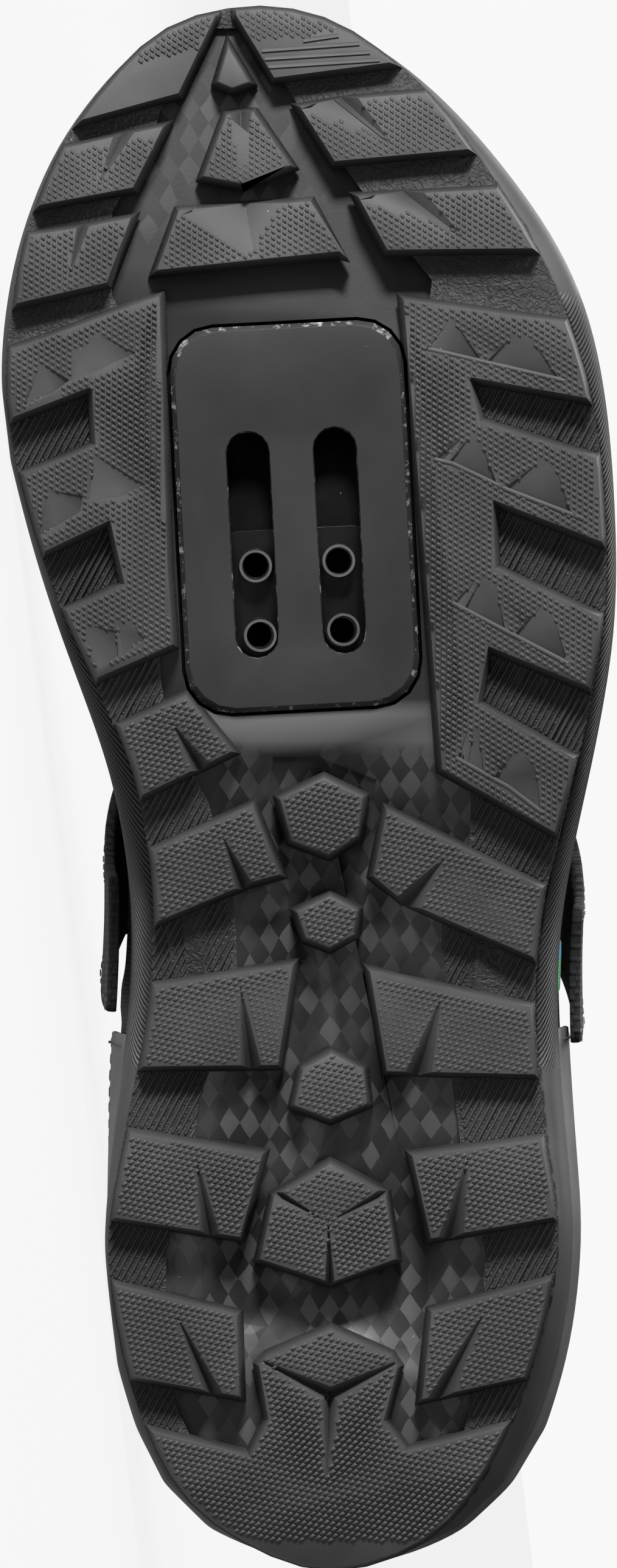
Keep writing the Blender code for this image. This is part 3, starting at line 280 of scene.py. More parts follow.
class Look(Net):
    """A Principled material with its surface's inputs at hand."""

    def __init__(self, name, roughness, specular, coat=0.0, sheen=0.0, metallic=0.0):
        self.material = bpy.data.materials.new(name)
        self.material.use_nodes = True
        super().__init__(self.material.node_tree)
        self.surface = self.tree.nodes["Principled BSDF"].inputs
        for label, value in (("Roughness", roughness), ("Specular IOR Level", specular),
                             ("Coat Weight", coat), ("Sheen Weight", sheen),
                             ("Metallic", metallic)):
            self.surface[label].default_value = value

    def paint(self, colour, normal, dust=0.0):
        """Feeds the surface its colour, with some dust over it, and its normal."""
        if dust > 0:
            colour = self.use("dust", Colour=colour, Amount=dust)["Colour"]
        self.feed(colour, self.surface["Base Color"])
        self.feed(normal, self.surface["Normal"])
        return self.material


def group(name, inputs, outputs, kind="ShaderNodeTree"):
    """An empty node group: its net, what it is given and what it gives."""
    tree = bpy.data.node_groups.new(name, kind)
    for way, sockets in (("INPUT", inputs), ("OUTPUT", outputs)):
        for label, socket_type in sockets.items():
            tree.interface.new_socket(name=label, in_out=way, socket_type=socket_type)
    net = Net(tree)
    return net, net.node("NodeGroupInput").outputs, net.node("NodeGroupOutput").inputs


def grey(value):
    return (value, value, value * 1.02, 1.0)


FLOAT, COLOUR, VECTOR = "NodeSocketFloat", "NodeSocketColor", "NodeSocketVector"
GEOMETRY, MATERIAL = "NodeSocketGeometry", "NodeSocketMaterial"

# %% Grain, dust and weave groups
DUST = (0.32, 0.32, 0.31, 1.0)

net, given, gives = group("fine_grain", {"Size": FLOAT, "Depth": FLOAT},
                          {"Normal": VECTOR, "Patches": FLOAT})
fine = net.noise(net.place(), given["Size"], Detail=4.0, Roughness=0.65)
broad = net.noise(net.place(), 90.0, Detail=3.0)
net.feed(net.bump(fine, given["Depth"]), gives["Normal"])
net.feed(net.range(broad, 0.35, 0.65), gives["Patches"])

net, given, gives = group("dust", {"Colour": COLOUR, "Amount": FLOAT}, {"Colour": COLOUR})
specks = net.node("ShaderNodeTexVoronoi", {"Vector": net.place(), "Scale": 400.0})
size = net.range(net.noise(net.place(), 60.0), 0.50, 0.72, 0.0, 0.075)
near = net.maths("LESS_THAN", specks.outputs["Distance"], size)
veil = net.range(net.noise(net.place(), 35.0, Detail=5.0), 0.45, 0.75, 0.0, 0.10)
mask = net.times(net.maths("MAXIMUM", near, veil), given["Amount"])
net.feed(net.blend(mask, given["Colour"], DUST), gives["Colour"])

net, given, gives = group("plain_weave", {"Across": FLOAT, "Along": FLOAT, "Depth": FLOAT},
                          {"Normal": VECTOR, "Threads": FLOAT})
parts = net.split(net.attribute("weave", "Vector"))
warp, weft = net.times(parts[0], given["Across"]), net.times(parts[1], given["Along"])
cell = net.plus(net.maths("FLOOR", warp), net.maths("FLOOR", weft))
waves = [net.maths("ABSOLUTE", net.maths("SINE", net.times(yarn, pi))) for yarn in (warp, weft)]
over = net.maths("PINGPONG", cell, 1.0)
threads = net.node("ShaderNodeMix", {0: over, 2: waves[0], 3: waves[1]}, data_type="FLOAT").outputs[0]
net.feed(net.bump(threads, given["Depth"]), gives["Normal"])
net.feed(threads, gives["Threads"])


# %% Material recipes
# Diamonds of the composite, and the pitch of the upper's air holes
CHECK = (3.4 * MM, 5.2 * MM)
HOLE_PITCH = 4.0 * MM
WALL_RIB_PITCH = 1.05 * MM
# Where a pattern fades in or out along the shoe, from none to full; the first two bound painted sheen
# on the composite's diamonds, the next two a painted highlight just behind the pocket
CHECK_SHEEN_REAR = (141 * MM, 137 * MM)
CHECK_SHEEN_FRONT = (222 * MM, 228 * MM)
RAMP_HIGHLIGHT_REAR = (137.5 * MM, 140 * MM)
RAMP_HIGHLIGHT_FRONT = (147 * MM, 144.5 * MM)
WALL_RIBS_REAR = (84 * MM, 92 * MM)
WALL_RIBS_END, WALL_RIBS_FURTHER = 158 * MM, 52 * MM


def rubber(name, dark, light, roughness, grain=2500.0, depth=0.00003, dust=0.5, deep=1.0,
           metallic=0.0):
    """Rubber, plastic or metal; deep is the share of its colour that is left at the web's depth, as
    painted shade in the recesses.
    """
    look = Look(name, roughness, 0.4, metallic=metallic)
    rough = look.use("fine_grain", Size=grain, Depth=depth)
    height = look.split(look.place())[2]
    colour = look.blend(rough["Patches"], grey(dark), grey(light))
    # Painted shade: the colour darkens with height above the ground, down to the share deep at the
    # web's depth
    colour = look.blend(look.range(height, 0.5 * MM, 3.4 * MM, 1.0, deep), grey(0.0), colour)
    normal = rough["Normal"]
    if deep < 1.0:
        swirl = look.noise(look.place(), 900.0, Detail=1.0, Distortion=1.5)
        folds = look.times(swirl, look.range(height, 2.4 * MM, 3.4 * MM))
        normal = look.bump(folds, 0.35 * MM, Normal=normal)
    return look.paint(colour, normal, dust)


def scuff_rim(finish, face):
    """Pale scuffs on the rounded edges that rise from a flat face at the height face."""
    net = Net(finish.node_tree)
    socket = net.tree.nodes["Principled BSDF"].inputs["Base Color"]
    plain = socket.links[0].from_socket
    nicks = net.noise(net.place(), 420.0, Detail=6.0, Roughness=0.7)
    edge = net.range(net.split(net.place())[2], face + 0.04 * MM, face + 0.16 * MM)
    mask = net.times(edge, net.range(nicks, 0.54, 0.66))
    net.feed(net.blend(mask, plain, grey(0.40)), socket)


def woven(name, dark, light, across, along, depth=0.0002):
    look = Look(name, 0.85, 0.3, sheen=0.15)
    weave = look.use("plain_weave", Across=across, Along=along, Depth=depth)
    colour = look.blend(weave["Threads"], grey(dark), grey(light))
    return look.paint(colour, weave["Normal"], 0.3)


def composite_check():
    """Diamonds of woven composite in greys beneath resin. Painted sheen: the diamonds show in full
    behind the pocket and at half strength in front on the inner side, and the rest of the plate is
    plain dark. A pale band just behind the pocket is a painted highlight.
    """
    look = Look("composite_check", 0.36, 0.4, coat=0.1)
    wander = look.node("ShaderNodeTexNoise", {"Vector": look.place(), "Scale": 220.0, "Detail": 1.0})
    off = look.node("ShaderNodeVectorMath", {0: wander.outputs["Color"], 1: (0.5, 0.5, 0.5)},
                    operation="SUBTRACT").outputs[0]
    off = look.node("ShaderNodeVectorMath", {0: off, "Scale": 1.1 * MM}, operation="SCALE")
    moved = look.node("ShaderNodeVectorMath", {0: look.place(), 1: off.outputs[0]}).outputs[0]
    wide, long = [look.maths("DIVIDE", *pair) for pair in zip(look.split(moved), CHECK)]
    rows = look.plus(wide, long)
    rising, falling = look.maths("FLOOR", rows), look.maths("FLOOR", look.minus(wide, long))
    cell = look.node("ShaderNodeCombineXYZ", {0: rising, 1: falling}).outputs[0]
    tone = look.node("ShaderNodeTexWhiteNoise", {"Vector": cell},
                     noise_dimensions="2D").outputs["Value"]
    check = look.maths("PINGPONG", look.plus(rising, falling), 1.0)
    slope = look.times(look.times(look.maths("FRACT", rows), tone), 0.35)
    x, y = look.split(look.place())[:2]
    # Painted sheen: the diamonds show in full behind the pocket, at half strength in front on the
    # inner side, and not elsewhere
    front = look.times(look.range(y, *CHECK_SHEEN_FRONT), look.range(x, -1 * MM, 6 * MM, 0.0, 0.5))
    sheen_mask = look.maths("MAXIMUM", look.range(y, *CHECK_SHEEN_REAR), front)
    level = look.times(look.plus(look.times(check, tone), slope), sheen_mask)
    # Painted highlight: a pale band across the plate just behind the pocket, where its slope faces
    # the toe
    ramp_highlight = look.times(look.range(y, *RAMP_HIGHLIGHT_REAR), look.range(y, *RAMP_HIGHLIGHT_FRONT))
    colour = look.blend(ramp_highlight, look.blend(level, grey(0.019), grey(0.082)), grey(0.13))
    return look.paint(colour, look.use("fine_grain", Size=1500.0, Depth=0.000012)["Normal"], 0.5)


def side_wall_look():
    """Side wall with slanting ribs. Painted shade darkens the troughs between the ribs and makes the
    wall within the tread's outline near black, and a dotted dark line beside the tread's edge is a
    painted shadow of the gap.
    """
    look = Look("side_wall_look", 0.55, 0.4)
    rough = look.use("fine_grain", Size=2500.0, Depth=0.00002)
    x, y, z = look.split(look.place())
    edge = look.attribute("edge")
    phase = look.minus(look.minus(y, look.maths("ABSOLUTE", x)), z)
    wave = look.maths("SINE", look.times(phase, 2 * pi / WALL_RIB_PITCH))
    outer = look.maths("LESS_THAN", x, 0.0)
    last = look.plus(look.times(outer, WALL_RIBS_FURTHER), WALL_RIBS_END)
    reach = look.times(look.range(y, *WALL_RIBS_REAR), look.range(look.minus(y, last), 6 * MM, 0.0))
    # Painted shade: within the tread's outline, where the wall is seen only through the slots, it is
    # painted near black and has no specular
    under_shade = look.range(edge, -1.0 * MM, -3.0 * MM)
    open_air = look.minus(1.0, under_shade)
    ribs = look.times(look.times(wave, reach), open_air)
    # Painted shadow: a dotted dark line in the gap beside the tread's edge, stronger on the outer
    # side
    gap_shadow = look.times(look.range(edge, 0.75 * MM, 0.45 * MM),
                        look.plus(look.times(outer, 0.75), 0.2))
    dots = look.noise(look.node("ShaderNodeCombineXYZ", {1: y}).outputs[0], 520.0, Detail=0.0)
    gap_shadow = look.times(gap_shadow, look.range(dots, 0.62, 0.50, 0.25, 1.0))
    colour = look.blend(rough["Patches"], grey(0.062), grey(0.082))
    # Painted shade in the troughs between the ribs
    colour = look.blend(look.times(look.range(ribs, 0.2, -1.0), 0.6), colour, grey(0.018))
    colour = look.blend(look.maths("MAXIMUM", gap_shadow, under_shade), colour, grey(0.003))
    look.feed(look.times(open_air, 0.4), look.surface["Specular IOR Level"])
    return look.paint(colour, look.bump(ribs, 0.32 * MM, Normal=rough["Normal"]), 0.5)


def upper_look():
    """Cloth with a smooth band round the opening, rows of air holes painted near black as the shade
    inside them, and a paler knit lining.
    """
    look = Look("upper_cloth_look", 0.82, 0.3, sheen=0.12)
    weave = look.use("plain_weave", Across=1300.0, Along=1300.0, Depth=0.00018)
    band = look.attribute("band")
    parts = look.split(look.attribute("weave", "Vector"))
    row = look.maths("DIVIDE", parts[1], HOLE_PITCH)
    shift = look.times(look.maths("PINGPONG", look.maths("FLOOR", row), 1.0), 0.5)
    step = look.plus(look.maths("DIVIDE", parts[0], HOLE_PITCH), shift)
    offs = [look.minus(look.maths("FRACT", value), 0.5) for value in (step, row)]
    far = look.maths("SQRT", look.plus(*[look.times(off, off) for off in offs]))
    field = look.maths("GREATER_THAN", look.attribute("holes"), 0.5)
    holes = look.times(look.range(far, 0.21, 0.16), field)
    colour = look.blend(weave["Threads"], grey(0.018), grey(0.052))
    # Band and lining are the cloth's own tones; the near-black holes are painted shade inside the
    # holes
    for mask, tone in ((band, 0.045), (look.attribute("lining"), 0.060), (holes, 0.003)):
        colour = look.blend(mask, colour, grey(tone))
    look.feed(look.range(band, 0.0, 1.0, 0.82, 0.5), look.surface["Roughness"])
    normal = look.bump(look.minus(1.0, holes), 0.5 * MM, Normal=weave["Normal"])
    return look.paint(colour, normal, 0.3)


def tab_look():
    """The small loop at the strap's end: pale blue above, green below."""
    look = Look("tab_look", 0.7, 0.3)
    y = look.split(look.place())[1]
    colour = look.blend(look.range(y, 107 * MM, 105 * MM), (0.75, 0.82, 0.88, 1.0),
                        (0.22, 0.62, 0.88, 1.0))
    colour = look.blend(look.range(y, 103.5 * MM, 102.5 * MM), colour, (0.22, 0.68, 0.32, 1.0))
    weave = look.use("plain_weave", Across=1800.0, Along=1800.0, Depth=0.0001)
    return look.paint(colour, weave["Normal"])


# Painted shade: the tread keeps 30 % of its colour at the web's depth, and the web's ribs get a
# darker copy of the same rubber
tread_rubber = rubber("tread_rubber_look", 0.044, 0.058, 0.60, deep=0.30)
shaded_web_rubber = rubber("web_rubber_look", 0.025, 0.035, 0.62)
wall_rubber = side_wall_look()
insert_plastic = rubber("insert_look", 0.025, 0.031, 0.40, grain=4000.0, depth=0.000012, dust=0.25)
panel_satin = rubber("satin_panel_look", 0.12, 0.16, 0.50, grain=5000.0, depth=0.00001, dust=0.25)
composite = composite_check()
steel = rubber("black_steel_look", 0.010, 0.016, 0.28, dust=0.2, metallic=0.6)
bright_steel = rubber("worn_rim_look", 0.35, 0.50, 0.30, dust=0.2, metallic=1.0)
cloth = upper_look()
tongue_cloth = woven("tongue_look", 0.024, 0.050, 1100.0, 1100.0, 0.00025)
webbing = woven("strap_look", 0.010, 0.030, 900.0, 1500.0)
footbed = woven("footbed_look", 0.030, 0.055, 1100.0, 1100.0)
thread = rubber("thread_look", 0.10, 0.14, 0.7, dust=0.1)
binding_tape = rubber("binding_look", 0.022, 0.032, 0.65, dust=0.2)
tab_cloth = tab_look()

# %% [markdown]
# ## The rubber tread
# The outsole and the centre lugs keep the solids' form. Their edges get a fine bevel, because
# moulded rubber never ends in a knife edge and the photo shows a thin light line on each rim.

# %% Tread pieces
EDGE = 0.28 * MM
CENTRE_LUGS = sorted(name for name in nodes if name.startswith("lug_"))
tread = flat_copy("outsole", "tread")
ground = [tread] + [flat_copy(name, name + "_look") for name in CENTRE_LUGS]


# %% [markdown]
# The rails beside the pocket carry shallow facets: each slopes down from a point in front to a
# small step that faces the toe and catches the light. A dent is cut with the hull of its corners.

# %% Facets
# Corners in mm: to the outer side, from the heel, and the depth below the ground face. A corner
# without a depth lies on that face.
FACETS = (
    ((16.0, 205.5, 0.3), (25.3, 204.3, 0.9), (20.5, 211.0)),
    ((26.5, 203.9, 0.9), (31.0, 208.2), (33.5, 207.8), (36.0, 204.5, 0.2),
     (38.5, 200.9, 0.7)),
    ((17.3, 187.0, 0.5), (18.9, 186.9, 0.9), (22.6, 191.2)),
    ((19.8, 186.6, 0.9), (24.0, 191.5), (25.5, 190.0), (28.0, 183.3, 0.9)),
    ((29.5, 182.5, 0.9), (35.5, 187.0), (37.8, 186.5), (39.0, 182.5, 0.2),
     (40.5, 178.4, 0.7)),
    ((20.6, 163.0, 0.6), (21.8, 162.6, 0.9), (24.6, 167.0)),
    ((22.6, 162.2, 0.9), (25.8, 167.8), (28.0, 166.0), (29.5, 158.4, 0.9)),
    ((30.8, 157.6, 0.9), (35.5, 162.5), (37.5, 161.0), (40.0, 153.2, 0.7)),
    ((21.3, 136.8, 0.6), (22.4, 136.3, 0.9), (23.4, 142.5)),
    ((23.2, 135.9, 0.9), (24.2, 143.0), (25.2, 141.5), (25.9, 134.4, 0.9)),
    ((27.3, 133.6, 0.9), (30.5, 137.5), (32.5, 138.0), (34.8, 134.6, 0.2),
     (35.4, 128.5, 0.7)),
    ((-32.5, 205.1, 0.4), (-36.0, 203.7, 0.8), (-40.0, 201.7, 0.9), (-42.6, 201.0, 0.9),
     (-43.5, 205.5), (-39.0, 208.3), (-36.3, 207.0)),
    ((-51.5, 196.3, 0.4), (-46.5, 198.5, 0.9), (-43.8, 200.6, 0.9), (-48.5, 203.5)),
    ((-31.0, 183.0, 0.4), (-35.0, 181.0, 0.8), (-40.5, 180.3, 0.9), (-39.8, 188.0),
     (-35.5, 185.5)),
    ((-49.0, 174.3, 0.4), (-46.0, 176.0, 0.8), (-42.0, 178.5, 0.9), (-41.5, 181.2, 0.5),
     (-47.5, 182.0)),
    ((-31.0, 157.0, 0.4), (-34.8, 154.6, 0.9), (-35.0, 158.2, 0.4), (-36.0, 160.4),
     (-33.0, 159.4)),
    ((-35.6, 154.2, 0.9), (-38.8, 152.4, 0.8), (-40.6, 156.0, 0.3), (-40.8, 159.4),
     (-35.8, 158.4, 0.4)),
)
FRONT_FACETS = (
    ((-5.2, 246.5), (0.3, 248.6, 2.6), (2.0, 244.2), (10.2, 240.6)),
    ((5.0, 231.0), (11.5, 233.3, 2.6), (12.0, 228.6), (22.8, 224.4)),
)
BALL_FACET = ((-25.0, 228.4), (-13.2, 221.8), (-12.9, 231.2, 3.2), (-20.0, 231.2, 1.5))
FACET_SHARE = 0.7


def cut_dent(piece, corners):
    """Cuts the hull of the corners, from below the ground up to each corner's depth."""
    work = bmesh.new()
    for side, along, *depth in corners:
        for height in (-1.0, depth[0] * FACET_SHARE if depth else -0.02):
            work.verts.new((-side * MM, along * MM, height * MM))
    hull = bmesh.ops.convex_hull(work, input=work.verts)
    extra = {item for item in hull["geom_interior"] + hull["geom_unused"]
             if isinstance(item, bmesh.types.BMVert)}
    bmesh.ops.delete(work, geom=list(extra), context="VERTS")
    bmesh.ops.recalc_face_normals(work, faces=work.faces)
    mesh = bpy.data.meshes.new("dent")
    work.to_mesh(mesh)
    work.free()
    cutter = new_object("dent", mesh)
    cut = piece.modifiers.new("dent", "BOOLEAN")
    cut.operation = "DIFFERENCE"
    cut.solver = "EXACT"
    cut.object = cutter
    evaluated(piece)
    bpy.data.objects.remove(cutter)


for corners in FACETS + FRONT_FACETS:
    cut_dent(tread, corners)
cut_dent(ground[1 + CENTRE_LUGS.index("lug_ball_centre")], BALL_FACET)
# Places without knurl: the facets, and the smooth parts of the toe
BARE = [[corner[:2] for corner in corners] for corners in FACETS + FRONT_FACETS + (BALL_FACET,)]
BARE += (((-50, 238), (-36.5, 253.8), (-22.3, 257.0), (-19, 244)),
         ((-42, 248), (-36, 254.5), (-30, 258.4), (-25, 260.7), (-19.5, 262.7),
          (-19, 268), (-42, 268)),
         ((-15.2, 259.2), (-13.6, 258.7), (-5, 258.9), (0, 260), (12, 258), (12, 250),
          (-12, 250)),
         ((-17, 262.9), (-12, 263.6), (-8, 263.3), (-4, 262.5), (2, 260), (12, 256),
          (12, 268), (-17, 268)),
         ((-20, 251), (-17.2, 259), (-16.2, 259), (-12, 252), (-16.5, 248)))
SMOOTH_PATCHES = [[(-side * MM, along * MM) for side, along in corners] for corners in BARE]


# %% Depth of the sole
def tree_of(pieces):
    """A search tree over several pieces, for rays cast up at the sole from below."""
    points, faces = [], []
    for piece in pieces:
        start = len(points)
        points += [vertex.co.copy() for vertex in piece.data.vertices]
        faces += [[start + index for index in face.vertices] for face in piece.data.polygons]
    return BVHTree.FromPolygons(points, faces)


sole_tree = tree_of(ground)


def depth_at(x, y):
    """How deep the first rubber lies above the ground at a place, or a large value for none."""
    hit = sole_tree.ray_cast(Vector((x, y, -0.01)), Vector((0, 0, 1)))[0]
    return 1.0 if hit is None else hit.z


# %% [markdown]
# ## Knurl
# The ground faces carry rows of small rounded pads. They run down to the right in the forefoot
# and up to the right from the arch back. A lattice of places is kept wherever all four corners
# of a pad meet a ground face, and Geometry Nodes set a pad on each place.

# %% Places of the pads
GROUND_LIMIT = 0.5 * MM
PAD_PITCH = 1.12 * MM
ROW_PITCH = 0.88 * MM
PAD_SIZE = (0.92 * MM, 0.60 * MM, 0.20 * MM)
FRONT_TURN = radians(33)
REAR_TURN = radians(135)
KNURL_END = 5.5 * MM
FRONT_FROM, REAR_TO = 105 * MM, 150 * MM
HALF_WIDTH = 60 * MM
# Across, and where the rear pattern takes over: it is further back on the outer side
REAR_BEGINS = ((-60.0, 112.0), (-6.0, 136.3), (0.0, 148.0), (60.0, 148.0))


def between_rows(rows, key, column=1):
    """A column of a table, read between its rows by the first column."""
    return np.interp(key, [row[0] for row in rows], [row[column] for row in rows])


def lattice(turn, low, high):
    """Places on a turned lattice, every other row moved by half a step."""
    way = Vector((cos(turn), sin(turn)))
    side = Vector((-way.y, way.x))
    reach = int(0.33 / ROW_PITCH)
    found = []
    for row in range(-reach, reach):
        shift = 0.5 * PAD_PITCH * (row % 2)
        for step in range(-reach, reach):
            spot = way * (step * PAD_PITCH + shift) + side * (row * ROW_PITCH)
            spot.y += LENGTH / 2
            if low < spot.y < high and abs(spot.x) < HALF_WIDTH:
                found.append(spot)
    return found


def on_ground(spot, turn):
    way = Vector((cos(turn), sin(turn))) * PAD_SIZE[0] * 0.45
    side = Vector((-way.y, way.x)).normalized() * PAD_SIZE[1] * 0.45
    corners = (spot + way + side, spot + way - side, spot - way + side, spot - way - side)
    heights = [depth_at(corner.x, corner.y) for corner in corners]
    return None if max(heights) > GROUND_LIMIT else sum(heights) / 4


def inside(spot, polygon):
    """Whether a place lies in a polygon of corners, by counting the sides that it passes."""
    crossings = 0
    for index, end in enumerate(polygon):
        start = polygon[index - 1]
        if (start[1] > spot.y) != (end[1] > spot.y):
            cut = start[0] + (spot.y - start[1]) / (end[1] - start[1]) * (end[0] - start[0])
            crossings += spot.x < cut
    return crossings % 2 == 1


pads = []
for turn, low, high in ((FRONT_TURN, FRONT_FROM, LENGTH), (REAR_TURN, KNURL_END, REAR_TO)):
    for spot in lattice(turn, low, high):
        rear = spot.y < between_rows(REAR_BEGINS, spot.x / MM) * MM
        if rear != (turn == REAR_TURN):
            continue
        if any(inside(spot, patch) for patch in SMOOTH_PATCHES):
            continue
        height = on_ground(spot, turn)
        if height is not None:
            pads.append((spot.x, spot.y, height, 0.0, 0.0, turn))


# %% Geometry Nodes for what repeats
net, given, gives = group("shape_on_places", {"Places": GEOMETRY, "Shape": "NodeSocketObject",
                                              "Finish": MATERIAL, "Spread": FLOAT,
                                              "Seed": "NodeSocketInt"},
                          {"Pieces": GEOMETRY}, "GeometryNodeTree")
shape = net.node("GeometryNodeObjectInfo", {"Object": given["Shape"]})
turn = net.node("GeometryNodeInputNamedAttribute", {"Name": "turn"}, data_type="FLOAT_VECTOR")
size = net.node("FunctionNodeRandomValue", {"Min": net.minus(1.0, given["Spread"]),
                                            "Max": net.plus(1.0, given["Spread"]),
                                            "Seed": given["Seed"]}, data_type="FLOAT")
spread = net.node("GeometryNodeInstanceOnPoints",
                  {"Points": given["Places"], "Instance": shape.outputs["Geometry"],
                   "Rotation": turn.outputs["Attribute"], "Scale": size.outputs[1]})
real = net.node("GeometryNodeRealizeInstances", {0: spread.outputs[0]})
painted = net.node("GeometryNodeSetMaterial", {"Geometry": real.outputs[0],
                                               "Material": given["Finish"]})
net.feed(painted.outputs[0], gives[0])
SHAPE_ON_PLACES = net.tree


def use_nodes(piece, tree, **values):
    """Runs a Geometry Nodes group on a piece and keeps the mesh that it makes."""
    made = piece.modifiers.new("nodes", "NODES")
    made.node_group = tree
    for item in tree.interface.items_tree:
        if item.in_out == "INPUT" and item.name in values:
            made[item.identifier] = values[item.name]
    evaluated(piece)


def repeated(name, places, shape, finish, spread=0.06, seed=3):
    """One mesh of many small shapes: a place is x, y, z and three turns round the axes."""
    holder = mesh_object(name, [place[:3] for place in places])
    store(holder, "turn", [place[3:] for place in places])
    use_nodes(holder, SHAPE_ON_PLACES, Shape=shape, Finish=finish, Spread=spread, Seed=seed)
    bpy.data.objects.remove(shape)
    return holder


def frustum(name, length, width, height, top=0.55, lean=0.0, sunk=0.05 * MM):
    """A small pad with sloping sides that stands out towards the ground, which is -Z."""
    points = []
    for z, share in ((sunk, 1.0), (-height, top)):
        for x, y in ((-1, -1), (1, -1), (1, 1), (-1, 1)):
            points.append((x * length / 2 * share + y * lean, y * width / 2 * share, z))
    faces = [(4, 7, 6, 5)] + [(i, i + 4, (i + 1) % 4 + 4, (i + 1) % 4) for i in range(4)]
    return mesh_object(name, points, faces)


pad = frustum("pad_shape", *PAD_SIZE, lean=0.08 * MM)
knurl = repeated("tread_knurl", pads, pad, tread_rubber)
finish_piece(knurl, tread_rubber, sharp=70)

# %% [markdown]
# ## Ribbed web
# Between the lugs the thin rubber web is moulded with narrow ribs that rise to the right. A rib
# is followed along its line and kept wherever the ray finds the web behind it.

# %% Web ribs
RIB_PITCH = 1.0 * MM
RIB_WIDTH = 0.62 * MM
RIB_HEIGHT = 0.30 * MM
RIB_TURN = radians(118)
RIB_STEP = 0.4 * MM
RIB_END = 207 * MM
# Across the shoe, the web is ribbed outside these lines: along, inner line, outer line
RIB_LINES = ((0.0, 25.0, 24.0), (28.0, 25.5, 24.0), (52.0, 28.0, 26.5), (78.0, 22.0, 22.0),
             (106.0, 16.0, 19.0), (124.0, 19.0, 24.0), (134.0, 22.0, 25.0), (150.0, 26.0, 22.0),
             (265.0, 20.0, 20.0))


def ribbed(spot):
    inner_line = between_rows(RIB_LINES, spot.y / MM)
    outer_line = between_rows(RIB_LINES, spot.y / MM, 2)
    clear = spot.x / MM > inner_line or spot.x / MM < -outer_line
    return clear and abs(depth_at(spot.x, spot.y) - WEB_DEPTH) < 0.35 * MM and spot.y < RIB_END


def strip(points, faces, start, end, side, z_start, z_end, height):
    """Adds a long narrow rib with sloping sides between two places."""
    base = len(points)
    for spot, z in ((start, z_start), (end, z_end)):
        for share, rise in ((1.0, -0.05 * MM), (0.45, height), (-0.45, height),
                            (-1.0, -0.05 * MM)):
            corner = spot + side * share
            points.append((corner.x, corner.y, z - rise))
    for step in range(3):
        faces.append((base + step, base + step + 1, base + step + 5, base + step + 4))
    faces.append((base, base + 4, base + 7, base + 3))
    faces.append((base + 3, base + 2, base + 1, base))
    faces.append((base + 4, base + 5, base + 6, base + 7))


way = Vector((cos(RIB_TURN), sin(RIB_TURN)))
side = Vector((-way.y, way.x)) * RIB_WIDTH / 2
rib_points, rib_faces = [], []
row_count = int(0.17 / RIB_PITCH)
for row in range(-row_count, row_count):
    origin = Vector((0.0, LENGTH / 2)) + side.normalized() * (row * RIB_PITCH)
    begun = None
    for step in range(-400, 401):
        spot = origin + way * (step * RIB_STEP)
        good = ribbed(spot) if abs(spot.x) < 0.058 and 0 < spot.y < LENGTH else False
        if good and begun is None:
            begun = spot
        if not good and begun is not None:
            last = spot - way * RIB_STEP
            if (last - begun).length > 0.8 * MM:
                heights = [depth_at(end.x, end.y) for end in (begun, last)]
                strip(rib_points, rib_faces, begun, last, side, *heights, RIB_HEIGHT)
            begun = None
ribs = mesh_object("web_ribs", rib_points, rib_faces)
finish_piece(ribs, shaded_web_rubber, sharp=60)

# %% Ridges and steps
# Ridges lie behind the outer toe knurl, and steps run on between the rail's facets. Their ends
# are in mm, to the outer side and from the heel.
RAIL_STEPS = (((16.5, 205.8), (39.5, 200.4)), ((17.5, 187.2), (20.5, 186.5)),
              ((20.5, 186.5), (30.0, 182.0)), ((30.0, 182.0), (42.5, 177.2)),
              ((20.5, 163.1), (30.0, 158.1)), ((30.0, 158.1), (40.0, 152.9)),
              ((21.2, 137.0), (30.0, 132.1)), ((30.0, 132.1), (35.6, 127.9)))
TOE_RIDGES = (((-4.5, 258.3), (1.5, 259.2)), ((-11.5, 256.6), (5.0, 257.8)),
              ((-11.0, 255.2), (6.8, 256.3)), ((-10.3, 253.8), (8.4, 255.0)))
RIDGE_HALF_WIDTH = 0.45 * MM
ridge_points, ridge_faces = [], []
for pairs, rise in ((TOE_RIDGES, 0.28 * MM), (RAIL_STEPS, 0.20 * MM)):
    for pair in pairs:
        ends = [Vector((-side * MM, along * MM)) for side, along in pair]
        run = (ends[1] - ends[0]).normalized()
        heights = [min(depth_at(spot.x, spot.y), 0.1 * MM) for spot in ends]
        strip(ridge_points, ridge_faces, *ends, Vector((-run.y, run.x)) * RIDGE_HALF_WIDTH,
              *heights, rise)
ridges = mesh_object("toe_ridges", ridge_points, ridge_faces)
finish_piece(ridges, tread_rubber, sharp=60)

# %% Bevelled tread
bevelled(tread, EDGE)
finish_piece(tread, tread_rubber, ["outsole"])
for piece, name in zip(ground[1:], CENTRE_LUGS):
    bevelled(piece, EDGE)
    finish_piece(piece, tread_rubber, [name])

# %% [markdown]
# ## Plate, cleat pocket and nut plate
# The composite plate shows between the lugs. The pocket insert is smooth moulded plastic, and
# through its slots the blackened nut plate shows with four threaded bosses.

# %% Plate and pocket
plate = flat_copy("sole_plate", "plate")
finish_piece(plate, composite, ["sole_plate"])
insert = flat_copy("cleat_pocket_insert", "pocket_insert")
bevelled(insert, 0.35 * MM, 3)
scuff_rim(insert_plastic, read_points(insert.data)[:, 2].min())
finish_piece(insert, insert_plastic, ["cleat_pocket_insert"])
nut_plate = flat_copy("cleat_nut_plate", "nut_plate")
bevelled(nut_plate, 0.3 * MM, 3)
steel_tree = tree_of([nut_plate])
finish_piece(nut_plate, steel, ["cleat_nut_plate"])

